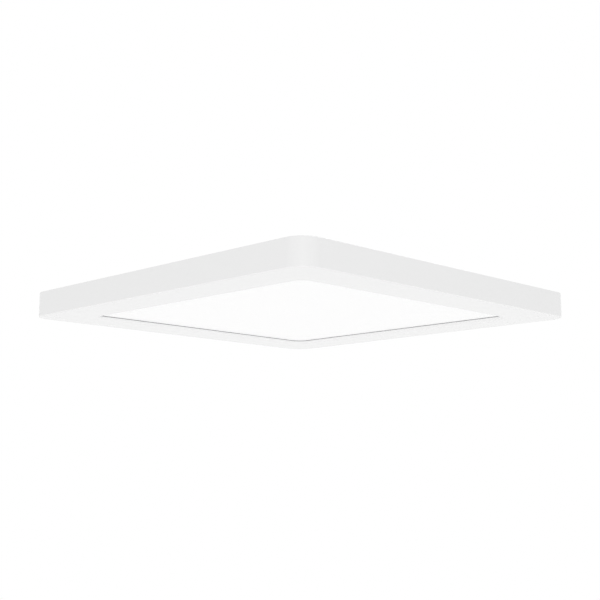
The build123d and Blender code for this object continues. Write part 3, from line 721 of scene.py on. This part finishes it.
def newTree(name, numbers, others):
    # a Geometry Nodes tree with its named inputs: plain numbers, and others by their kind
    sockets = {label: "Float" for label in numbers} | others
    tree = bpy.data.node_groups.new(name, "GeometryNodeTree")
    tree.interface.new_socket("Geometry", in_out="INPUT", socket_type="NodeSocketGeometry")
    for label, kind in sockets.items():
        tree.interface.new_socket(label, in_out="INPUT", socket_type="NodeSocket" + kind)
    tree.interface.new_socket("Geometry", in_out="OUTPUT", socket_type="NodeSocketGeometry")
    inside = tree.nodes.new("NodeGroupInput")
    given = {socket.name: Signal(tree, socket) for socket in inside.outputs if socket.name}
    return tree, Signal(tree), given


def closeTree(start, shape, finish, chosen=True):
    # ends a tree in real geometry, with its finish on the chosen faces
    real = start.node("GeometryNodeRealizeInstances", {"Geometry": shape})
    inputs = {"Geometry": real, "Selection": chosen, "Material": finish}
    real = start.node("GeometryNodeSetMaterial", inputs)
    start.node("NodeGroupOutput", {"Geometry": real})


def applyTree(holder, tree, values):
    # hangs a tree on an object and fills its named inputs
    step = holder.modifiers.new("tree", "NODES")
    step.node_group = tree
    for socket in tree.interface.items_tree:
        if socket.in_out == "INPUT" and socket.name in values:
            step[socket.identifier] = values[socket.name]
    holder.update_tag()


def grow(name, tree, points, edges, values, marks=None, faces=()):
    # runs a tree on a base mesh and bakes it; marks are numbers kept on the base's points
    base = bpy.data.meshes.new(name + "Base")
    base.from_pydata([tuple(p) for p in points], edges, list(faces))
    for label, numbers in (marks or {}).items():
        base.attributes.new(label, "FLOAT", "POINT").data.foreach_set("value", numbers)
    holder = newObject(name + "Base", base)
    applyTree(holder, tree, values)
    return settle(name, holder, values.get("Finish"))


def sweepTree():
    # carries an outline round a rounded square. Its points hold, as x, y and z, half the
    # square's side, its corner radius and the height; side and radius alike make a circle
    numbers = ["Corner steps", "Straight steps", "Closed", "Unevenness", "Uneven size"]
    tree, start, given = newTree("roundedSweep", numbers, {"Finish": "Material"})
    base = given["Geometry"]
    count = start.node("GeometryNodeAttributeDomainSize", {"Geometry": base}, "Point Count")
    rows = count + given["Closed"]
    block = given["Corner steps"] + given["Straight steps"]
    counts = {"Size X": 1.0, "Size Y": 1.0, "Vertices X": block * 4 + 1, "Vertices Y": rows}
    grid = start.node("GeometryNodeMeshGrid", counts, "Mesh")
    index = start.node("GeometryNodeInputIndex")
    column = ((index + 0.5) / rows).whole()
    where = start.node("GeometryNodeInputPosition")
    outline = start.node(
        "GeometryNodeSampleIndex",
        {"Geometry": base, "Value": where, "Index": (index - column * rows) % count},
        "Value", data_type="FLOAT_VECTOR",
    )
    half, radius, height = outline.parts()
    corner = ((column + 0.5) / block).whole()
    step = column - corner * block
    along = (step - given["Corner steps"]).bigger(0.0) / given["Straight steps"]
    turn = (corner + (step / given["Corner steps"]).smaller(1.0)) * (math.pi / 2)
    reach = (half - radius) * math.sqrt(2)
    here, there = [(bend + 0.5) * (math.pi / 2) for bend in (corner, corner + 1)]
    x = reach * (here.cosine() * (1 - along) + there.cosine() * along) + radius * turn.cosine()
    y = reach * (here.sine() * (1 - along) + there.sine() * along) + radius * turn.sine()
    placed = {"Geometry": grid, "Position": start.point(x, y, height)}
    ring = start.node("GeometryNodeSetPosition", placed)
    seams = {"Geometry": ring, "Distance": meshSet["seamGap"]}
    ring = start.node("GeometryNodeMergeByDistance", seams)
    depth = (noiseOf(where, given["Uneven size"]) - 1.0) * given["Unevenness"]
    inward = {"Vector": start.node("GeometryNodeInputNormal"), "Scale": depth}
    sunk = start.node("ShaderNodeVectorMath", inward, operation="SCALE")
    ring = start.node("GeometryNodeSetPosition", {"Geometry": ring, "Offset": sunk})
    closeTree(start, ring, given["Finish"])
    return tree


def scatterTree():
    # stands a part on each base point, turned as the point says and then by chance
    others = {"Part": "Object", "Seed": "Int", "Finish": "Material"}
    tree, start, given = newTree("standParts", ["Chance turn"], others)
    turn = start.node(
        "GeometryNodeInputNamedAttribute", {"Name": "turn"}, "Attribute", data_type="FLOAT")
    limits = {2: 0.0, 3: 1.0, "Seed": given["Seed"]}
    chance = start.node("FunctionNodeRandomValue", limits, 1, data_type="FLOAT")
    angles = start.point(0.0, 0.0, turn + chance * given["Chance turn"])
    part = start.node("GeometryNodeObjectInfo", {"Object": given["Part"]}, "Geometry")
    rotation = start.node("FunctionNodeEulerToRotation", {"Euler": angles})
    stand = {"Points": given["Geometry"], "Instance": part, "Rotation": rotation}
    closeTree(start, start.node("GeometryNodeInstanceOnPoints", stand), given["Finish"])
    return tree


def recessTree():
    # sinks a tapered cross in a screw head
    numbers = ["Top", "Length", "Width", "Depth", "Taper"]
    tree, start, given = newTree("crossRecess", numbers, {"Finish": "Material"})
    cutters = []
    for across, along in (("Length", "Width"), ("Width", "Length")):
        size = start.point(given[across], given[along], given["Depth"] * 2)
        arm = start.node("GeometryNodeMeshCube", {"Size": size}, "Mesh")
        x, y, z = start.node("GeometryNodeInputPosition").parts()
        narrow = 1 + (z / given["Depth"]) * given["Taper"]
        place = start.point(x * narrow, y * narrow, z + given["Top"])
        cutters.append(start.node("GeometryNodeSetPosition", {"Geometry": arm, "Position": place}))
    cut = start.node(
        "GeometryNodeMeshBoolean", {"Mesh 1": given["Geometry"], "Mesh 2": cutters}, "Mesh",
        operation="DIFFERENCE", solver="EXACT",
    )
    closeTree(start, cut, given["Finish"])
    return tree


roundedSweep, standParts, crossRecess = sweepTree(), scatterTree(), recessTree()


def swept(name, outline, finish, cornerSteps, straightSteps, closed=True, **uneven):
    edges = [(i, i + 1) for i in range(len(outline) - 1)]
    values = {
        "Corner steps": float(cornerSteps), "Straight steps": float(straightSteps),
        "Closed": float(closed), "Unevenness": uneven.get("depth", 0.0),
        "Uneven size": uneven.get("size", 1 * mm), "Finish": finish,
    }
    return grow(name, roundedSweep, outline, edges, values)


def turned(name, profile, finish, cornerSteps=8):
    # profile points are (radius, height), from the foot of the axis round to its top
    return swept(name, [(r, r, z) for r, z in profile], finish, cornerSteps, 0, closed=False)


def stood(name, part, places, finish, chanceTurn=0.0, seed=0, turns=None):
    # one piece made of a part on each place; the part itself goes
    marks = {"turn": turns or [0.0] * len(places)}
    values = {"Part": part, "Chance turn": chanceTurn, "Seed": seed, "Finish": finish}
    piece = grow(name, standParts, places, [], values, marks)
    bpy.data.objects.remove(part)
    return piece


def bend(middle, height, radius, fromAngle, toAngle, steps):
    # points of an arc in the outline's plane
    for step in range(steps + 1):
        angle = math.radians(fromAngle + (toAngle - fromAngle) * step / steps)
        yield middle + radius * math.cos(angle), height + radius * math.sin(angle)


def addOrCut(name, holder, finish, steps):
    # joins solids to a solid, or cuts them out of it
    for operation, tool in steps:
        step = holder.modifiers.new("join", "BOOLEAN")
        step.operation = operation
        step.solver = "EXACT"
        step.object = tool
    piece = settle(name, holder, finish)
    for operation, tool in steps:
        bpy.data.objects.remove(tool)
    return piece


frameSet = {
    "wall": 1.8 * mm,
    "cornerRadius": 15 * mm,
    "edgeRadius": 0.6 * mm,
    "rimRadius": 0.3 * mm,
    "rootRadius": 0.5 * mm,
    "bezel": 35.5 * mm,
    "bezelThickness": 2.0 * mm,
    "openingRadius": 9 * mm,
    "openingEdge": 1.4 * mm,
    "openingBreak": 0.15 * mm,
    "railInside": 131 * mm,
    "railThickness": 1.6 * mm,
    "railTop": -13.0 * mm,
    "sunk": 0.5 * mm,  # how far rail, bosses and posts start inside the bezel
    "bossRadius": 3.2 * mm,
    "bossDistance": 137.3 * mm,
    "bossStep": 70 * mm,
    "postRadius": 3.0 * mm,
    "postTop": -2.2 * mm,
    "postDistance": 146 * mm,
    "cornerPost": 142.5 * mm,
    "webWidth": 2.4 * mm,
    "webLength": 5.6 * mm,
    "pilotRadius": 1.25 * mm,
    "bossPilotFoot": -18.3 * mm,
    "postPilotDepth": 6.0 * mm,
    "pilotTip": 0.5 * mm,
    "clearance": 1 * mm,  # how far the cutters of the pilot holes reach out of them
    "cornerSteps": 28,
    "straightSteps": 6,
    "railSteps": (6, 3),
    "pilotSteps": 6,
    "edgeSteps": 8,
    "rimSteps": 3,
    "rootSteps": 4,
    "breakSteps": 2,
    "break": 0.2 * mm,
}


def allRound(places):
    # the same places on the four sides
    quarters = ((1, 0), (0, 1), (-1, 0), (0, -1))
    return [(x * c - y * s, x * s + y * c, 0) for x, y in places for c, s in quarters]


bossPlaces = allRound([(frameSet["bossDistance"], side * frameSet["bossStep"]) for side in (-1, 1)])
sidePosts = allRound([(frameSet["postDistance"], 0.0)])
cornerPosts = allRound([(frameSet["cornerPost"], frameSet["cornerPost"])])


def shellOutline():
    low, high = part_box("trim_frame")
    half, bottom = high.x, low.z
    wall = half - frameSet["wall"]
    opening = half - frameSet["bezel"]
    bezelTop = bottom + frameSet["bezelThickness"]
    edge, rim, root = frameSet["edgeRadius"], frameSet["rimRadius"], frameSet["rootRadius"]
    lip, small = frameSet["openingEdge"], frameSet["openingBreak"]
    steps, rimSteps = frameSet["edgeSteps"], frameSet["rimSteps"]
    points = [
        *bend(half - rim, high.z - rim, rim, 90, 0, rimSteps),
        *bend(half - edge, bottom + edge, edge, 0, -90, steps),
        *bend(opening + lip, bottom + lip, lip, 270, 180, steps),
        *bend(opening + small, bezelTop - small, small, 180, 90, frameSet["breakSteps"]),
        *bend(wall - root, bezelTop + root, root, -90, 0, frameSet["rootSteps"]),
        *bend(wall + rim, high.z - rim, rim, 180, 90, rimSteps),
    ]
    outline = []
    for place, height in points:
        if place > (opening + wall) / 2:
            radius = frameSet["cornerRadius"] + place - half
        else:
            radius = frameSet["openingRadius"] + place - opening
        outline.append((place, radius, height))
    return outline[::-1]


def buildFrame():
    # walls and bezel in one sweep, then rail, bosses, posts and webs joined, and holes cut
    white = finishes["white_shell"]
    shellSteps = frameSet["cornerSteps"], frameSet["straightSteps"]
    shell = swept("shellSweep", shellOutline(), white, *shellSteps)
    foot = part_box("trim_frame")[0].z + frameSet["bezelThickness"] - frameSet["sunk"]
    inside, top, small = frameSet["railInside"], frameSet["railTop"], frameSet["break"]
    postTop = frameSet["postTop"]
    outside = inside + frameSet["railThickness"]
    railOutline = [
        (inside, 0.0, foot), (outside, outside - inside, foot),
        (outside, outside - inside, top - small),
        (outside - small, outside - inside - small, top),
        (inside + small, small, top), (inside, 0.0, top - small),
    ]
    rail = swept("railSweep", railOutline, white, *frameSet["railSteps"])

    def column(name, radius, height):
        profile = [
            (0, foot), (radius, foot),
            (radius, height - small), (radius - small, height), (0, height),
        ]
        return turned(name, profile, white)

    def hole(name, bottom, height):
        radius, tip = frameSet["pilotRadius"], bottom + frameSet["pilotTip"]
        wide, clear = radius + 2 * small, height + frameSet["clearance"]
        profile = [
            (0, bottom), (radius, tip), (radius, height - small),
            (wide, height + small), (wide, clear), (0, clear),
        ]
        return turned(name, profile, white, frameSet["pilotSteps"])

    postPlaces = sidePosts + cornerPosts
    bosses = stood("bosses", column("boss", frameSet["bossRadius"], top), bossPlaces, white)
    posts = stood("posts", column("post", frameSet["postRadius"], postTop), postPlaces, white)
    corners = [
        (x * frameSet["webLength"], y * frameSet["webWidth"] / 2, foot + z * (postTop - foot))
        for x in (0, 1) for y in (-1, 1) for z in (0, 1)
    ]
    web = bpy.data.meshes.new("web")
    web.from_pydata(corners, [], boxFaces)
    outward = [math.atan2(y, x) for x, y, z in sidePosts]
    webs = stood("webs", newObject("web", web), sidePosts, white, turns=outward)
    bossHole = hole("bossHole", frameSet["bossPilotFoot"], top)
    bossHoles = stood("bossHoles", bossHole, bossPlaces, white)
    postHole = hole("postHole", postTop - frameSet["postPilotDepth"], postTop)
    postHoles = stood("postHoles", postHole, postPlaces, white)
    frameShell = addOrCut("frameShell", shell, white, [
        ("UNION", rail), ("UNION", bosses), ("UNION", posts), ("UNION", webs),
        ("DIFFERENCE", bossHoles), ("DIFFERENCE", postHoles),
    ])
    ridesOn(frameShell, "light", "white_shell", "trim_frame")


buildFrame()
print("frame shell made")


screwSet = {
    "shank": 1.2 * mm,
    "root": 0.92 * mm,
    "pitch": 0.8 * mm,
    # where the thread's corners lie, in pitches, and how wide its blunt point is, in roots
    "thread": {
        "tip": 1.1, "pointRise": 0.25, "pointWidth": 0.55, "crestStart": 0.42, "crestEnd": 0.55,
        "lastTurn": 1.4, "runOut": 0.4,
    },
    "head": 2.75 * mm,
    "headHeight": 1.6 * mm,
    "headSide": 0.55 * mm,
    "headBreak": 0.12 * mm,
    "domeSteps": 9,
    "domeShape": (0.62, 0.95),
    "recess": {"Length": 2.8 * mm, "Width": 0.62 * mm, "Depth": 0.9 * mm, "Taper": 0.28},
    "firstSeed": 3,
    "sets": {
        "coverScrews": {"node": "cover_screws", "seat": -1.6 * mm, "length": 6.0 * mm},
        "chassisScrews": {"node": "chassis_screws", "seat": -12.4 * mm, "length": 4.5 * mm},
        "driverScrews": {"node": "driver_screws", "seat": -7.4 * mm, "length": 3.5 * mm},
        "earthScrew": {"node": "earth_screw", "seat": -8.85 * mm, "length": 3.55 * mm},
    },
}


def dome(radius, top, side):
    # the top of a pan head above its straight side: flatter than a ball
    across, up = screwSet["domeShape"]
    for step in range(screwSet["domeSteps"] + 1):
        angle = math.pi / 2 * step / screwSet["domeSteps"]
        yield radius * math.cos(angle) ** across, side + (top - side) * math.sin(angle) ** up


def threaded(length):
    # from the blunt point up to the head, one crest for each turn
    shank, root, pitch, thread = (screwSet[key] for key in ("shank", "root", "pitch", "thread"))
    height = thread["tip"] * pitch - length
    profile = [
        (0, -length), (root * thread["pointWidth"], thread["pointRise"] * pitch - length),
        (root, height),
    ]
    while height < -thread["lastTurn"] * pitch:
        profile += [
            (shank, height + thread["crestStart"] * pitch),
            (shank, height + thread["crestEnd"] * pitch),
            (root, height + pitch),
        ]
        height += pitch
    return profile + [(shank, height + thread["runOut"] * pitch), (shank, 0)]


def panScrew(name, length, finish):
    top, head, small = screwSet["headHeight"], screwSet["head"], screwSet["headBreak"]
    profile = threaded(length)
    profile += [(head - small, 0), (head, small), *dome(head, top, screwSet["headSide"])]
    profile[-1] = (0, top)
    plain = turned(name + "Turned", profile, finish)
    applyTree(plain, crossRecess, {"Top": top, "Finish": finish, **screwSet["recess"]})
    return settle(name, plain, finish)


def buildScrews():
    # one screw for each kind, on every solid of its CAD node, turned by chance
    zinc = finishes["zinc_screw"]
    for seed, (name, sort) in enumerate(screwSet["sets"].items(), screwSet["firstSeed"]):
        screw = panScrew(name + "One", sort["length"], zinc)
        places = middlesOf(solidsOf(sort["node"]), sort["seat"])
        screws = stood(name, screw, places, zinc, 2 * math.pi, seed)
        ridesOn(screws, "light", "zinc_screw", sort["node"])


buildScrews()
print("screws made")


studSet = {
    "rivet": 1.8 * mm,
    "shank": 2.25 * mm,
    "head": 4.5 * mm,
    "plateBottom": -1.0 * mm,
    "headTop": -2.4 * mm,
    "faceRound": 0.35 * mm,
    "faceShare": 0.55,
    "break": 0.2 * mm,
    "roundSteps": 5,
    "breakSteps": 3,
    "peenFoot": -0.12 * mm,
    "peenRim": -0.03 * mm,
    "peenCrown": -0.01 * mm,
    "peenBreak": 0.1 * mm,
    "crownShare": 0.7,
    "turnSteps": 12,
    "seed": 11,
}


def buildStuds():
    # headed studs: peened over in the plate, with a turned shank and a rounded head
    boxes = solidsOf("twist_studs")
    foot = boxes[0][0].z
    rivet, shank, head = studSet["rivet"], studSet["shank"], studSet["head"]
    top, plate = studSet["headTop"], studSet["plateBottom"]
    edge, small, rim = studSet["faceRound"], studSet["break"], studSet["peenRim"]
    profile = [
        (0, foot), (head * studSet["faceShare"], foot),
        *bend(head - edge, foot + edge, edge, -90, 0, studSet["roundSteps"]),
        *bend(head - small, top - small, small, 0, 90, studSet["breakSteps"]),
        (shank + small, top), (shank, top + small), (shank, plate), (rivet, plate),
        (rivet, studSet["peenFoot"]), (rivet - studSet["peenBreak"], rim),
        (rivet * studSet["crownShare"], studSet["peenCrown"]), (0, rim),
    ]
    zinc = finishes["zinc_screw"]
    stud = turned("stud", profile, zinc, studSet["turnSteps"])
    studs = stood("twistStuds", stud, middlesOf(boxes, 0), zinc, 2 * math.pi, studSet["seed"])
    ridesOn(studs, "ceiling_mount", "zinc_screw", "twist_studs")


buildStuds()
print("studs made")


chipSet = {"window": 0.78, "rim": 0.9, "sink": 0.12 * mm, "frontLimit": 129.3 * mm}


def chipTree():
    # sinks a phosphor window in the face of each body that looks at the light guide
    others = {"Body": "Material", "Phosphor": "Material"}
    tree, start, given = newTree("chipWindow", ["Front", "Window", "Rim", "Sink"], others)
    x, y, z = start.node("GeometryNodeInputPosition").parts()
    reach = {"A": x.size().bigger(y.size()), "B": given["Front"]}
    chosen = start.node("FunctionNodeCompare", reach, "Result", operation="LESS_THAN")
    body = {"Geometry": given["Geometry"], "Material": given["Body"]}
    shape = start.node("GeometryNodeSetMaterial", body)
    for scale, sink in ((given["Window"], 0.0), (given["Rim"], given["Sink"])):
        push = {"Mesh": shape, "Selection": chosen, "Offset Scale": sink, "Individual": True}
        pushed = start.node("GeometryNodeExtrudeMesh", push, "Mesh", mode="FACES")
        chosen = pushed.beside("Top")
        shrink = {"Geometry": pushed, "Selection": chosen, "Scale": scale}
        shape = start.node("GeometryNodeScaleElements", shrink, "Geometry", domain="FACE")
    closeTree(start, shape, given["Phosphor"], chosen)
    return tree


def buildChips():
    corners = [Vector((x, y, z)) / 2 for x in (-1, 1) for y in (-1, 1) for z in (-1, 1)]
    points, faces = [], []
    for low, high in solidsOf("led_chips"):
        middle = (low + high) / 2
        size = high - low
        faces += [[len(points) + i for i in face] for face in boxFaces]
        points += [middle + Vector((c.x * size.x, c.y * size.y, c.z * size.z)) for c in corners]
    values = {
        "Front": chipSet["frontLimit"], "Window": chipSet["window"], "Rim": chipSet["rim"],
        "Sink": -chipSet["sink"], "Body": finishes["light_bar"], "Phosphor": finishes["led_chip"],
    }
    chips = grow("ledChips", chipTree(), points, [], values, faces=faces)
    ridesOn(chips, "light", "led_chip", "led_chips")


buildChips()
print("LED chips made")


gasketSet = {
    "outside": 139 * mm,
    "width": 8 * mm,
    "radius": 10 * mm,
    "round": 0.45 * mm,
    "roundSteps": 4,
    "cornerSteps": 10,
    "straightSteps": 60,
    "uneven": {"depth": 0.08 * mm, "size": 7 * mm},
}


def buildGasket():
    # foam ring, a little uneven where it was cut
    low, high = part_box("ceiling_gasket")
    outside, edge, steps = gasketSet["outside"], gasketSet["round"], gasketSet["roundSteps"]
    inside = outside - gasketSet["width"]
    section = [
        *bend(outside - edge, high.z - edge, edge, 90, 0, steps),
        *bend(outside - edge, low.z + edge, edge, 0, -90, steps),
        *bend(inside + edge, low.z + edge, edge, 270, 180, steps),
        *bend(inside + edge, high.z - edge, edge, 180, 90, steps),
    ]
    outline = [(place, gasketSet["radius"] + place - outside, height) for place, height in section]
    ring = swept(
        "ceilingGasket", outline[::-1], finishes["grey_foam"],
        gasketSet["cornerSteps"], gasketSet["straightSteps"], **gasketSet["uneven"],
    )
    ridesOn(ring, "light", "grey_foam", "ceiling_gasket")


buildGasket()
print("gasket made")


# CAD nodes whose corners get a small round, and how far it reaches in, in millimetres
softSet = {
    "back_cover": 0.14,
    "mounting_plate": 0.16,
    "chassis_plate": 0.12,
    "driver_housing": 0.25,
    "driver_lid": 0.2,
    "terminal_block": 0.18,
    "wire_lever_earth": 0.16,
    "wire_lever_neutral": 0.16,
    "wire_lever_line": 0.16,
    "tone_switch_body": 0.2,
    "tone_slider": 0.15,
    "bar_connector": 0.2,
    "lead_clip": 0.2,
    "lead_grommet": 0.12,
    "transformer": 0.2,
    "input_choke": 0.12,
    "light_guide": 0.15,
    "diffuser": 0.1,
    "backing_foam": 0.12,
    "terminal_pad": 0.15,
    "driver_board": 0.1,
    "led_bar_front": 0.1,
    "led_bar_back": 0.1,
    "led_bar_left": 0.1,
    "led_bar_right": 0.1,
    "earth_ring": 0.1,
    "ground_screw": 0.1,
    "fuse": 0.12,
}
bodies = frame["record"]["behaviour"]["bodies"]
bodyOf = {node: body for body, nodes in bodies.items() for node in nodes}


def camelName(node):
    # the piece's name; a node of one word gets a second, so that the two differ
    words = (node if "_" in node else node + "_body").split("_")
    return words[0] + "".join(word.capitalize() for word in words[1:])


def softened(node, reach):
    # a copy of a CAD node with bevelled corners, whose new faces are marked for wear
    work = mergedCopy(node)
    bmesh.ops.dissolve_limit(
        work, angle_limit=meshSet["flatAngle"], verts=work.verts, edges=work.edges)
    sharp = [edge for edge in work.edges if edge.calc_face_angle(0) > meshSet["sharpAngle"]]
    worn = work.faces.layers.float.new("worn")
    made = bmesh.ops.bevel(
        work, geom=sharp, offset=reach, segments=meshSet["bevelSegments"],
        profile=meshSet["bevelShape"], affect="EDGES",
    )
    for face in made["faces"]:
        face[worn] = 1.0
    mesh = bpy.data.meshes.new(node + "Soft")
    work.to_mesh(mesh)
    work.free()
    mesh.materials.append(finishes[slotOf[node]])
    piece = settle(camelName(node), newObject("soft", mesh))
    ridesOn(piece, bodyOf[node], slotOf[node], node)


for node, reach in softSet.items():
    softened(node, reach * mm)
print("corners softened:", len(softSet))


cameraSet = {
    "place": (-0.6018, -0.5935, -0.1473),
    "looksAlong": (0.7017, 0.6928, 0.1661),
    "focalPixels": 1064.6,
    "framePixels": 600,
    "sensor": 36,
}


def aimed(name, data, place, along):
    # cameras and lamps look down their own z axis
    made = newObject(name, data)
    made.location = place
    made.rotation_mode = "QUATERNION"
    made.rotation_quaternion = along.to_track_quat("-Z", "Y")
    return made


def placeCamera():
    data = bpy.data.cameras.new("photoCamera")
    data.sensor_width = cameraSet["sensor"]
    data.lens = cameraSet["focalPixels"] * cameraSet["sensor"] / cameraSet["framePixels"]
    along = Vector(cameraSet["looksAlong"])
    bpy.context.scene.camera = aimed("photoCamera", data, cameraSet["place"], along)


studioSet = {
    "around": 0.8,
    "front": {"from": (-2.2, -2.2, -0.5), "size": 1.6, "power": 13.8},
    "below": {"from": (-0.1, -0.1, -0.98), "size": 0.5, "power": 0.65},
    "edgeLeft": {"from": (-0.3, 1.25, -1.0), "size": 0.5, "power": 1.05},
    "edgeRight": {"from": (1.25, -0.3, -1.0), "size": 0.5, "power": 1.05},
    "above": {"from": (1.2, 0.4, 1.3), "size": 0.9, "power": 5},
}


def softLamp(name, lamp):
    data = bpy.data.lights.new(name, "AREA")
    data.shape = "DISK"
    data.size = lamp["size"]
    data.energy = lamp["power"]
    made = aimed(name, data, lamp["from"], -Vector(lamp["from"]))
    made.visible_camera = False


def lookedAt(start):
    # 1 where the camera, gloss or glass looks, 0 for light that falls on things
    kinds = ("Is Camera Ray", "Is Glossy Ray", "Is Transmission Ray")
    camera, gloss, glass = (start.node("ShaderNodeLightPath", output=kind) for kind in kinds)
    return camera.bigger(gloss).bigger(glass)


def lightWorld():
    # plain white where it is looked at, and a softer level as light
    world = bpy.data.worlds.new("studio")
    bpy.context.scene.world = world
    world.use_nodes = True
    tree = world.node_tree
    tree.nodes.clear()
    start = Signal(tree)
    level = studioSet["around"] + lookedAt(start) * (1 - studioSet["around"])
    sky = start.node("ShaderNodeBackground", {"Color": (1, 1, 1, 1), "Strength": level})
    start.node("ShaderNodeOutputWorld", {"Surface": sky})


floorSet = {
    "height": -1.1,
    "radius": 2.6,
    "sides": 96,
    "colour": (0.92, 0.92, 0.92),
    "tones": (0.99, 1.01),
    "speck": 4 * mm,
    "lift": 0.27,
    "specular": 0.1,
    "roughness": 0.8,
    "speckSheen": 0.1,
}


def floorLook(place):
    # pale paint, lifted to white for the eye alone, so that it keeps the shadow
    speck = noiseOf(place, floorSet["speck"], detail=3.0)
    return {
        "Base Color": tonesOf(speck, floorSet["colour"], floorSet["tones"]),
        "Roughness": floorSet["roughness"] + speck.swing(floorSet["speckSheen"]),
        "Emission Color": blendOf(lookedAt(place), (0, 0, 0, 1), (1, 1, 1, 1)),
    }


def layFloor():
    mesh = bpy.data.meshes.new("studioFloor")
    work = bmesh.new()
    bmesh.ops.create_circle(
        work, cap_ends=True, segments=floorSet["sides"], radius=floorSet["radius"])
    bmesh.ops.translate(work, verts=work.verts, vec=(0, 0, floorSet["height"]))
    work.to_mesh(mesh)
    work.free()
    floor = newObject("studioFloor", mesh)
    constants = {"Emission Strength": floorSet["lift"], "Specular IOR Level": floorSet["specular"]}
    mesh.materials.append(newFinish("floorPaint", constants, floorLook))


placeCamera()
lightWorld()
for name, setting in studioSet.items():
    if name != "around":
        softLamp(name + "Lamp", setting)
layFloor()
bpy.context.scene.view_settings.view_transform = "Standard"
print("studio ready")
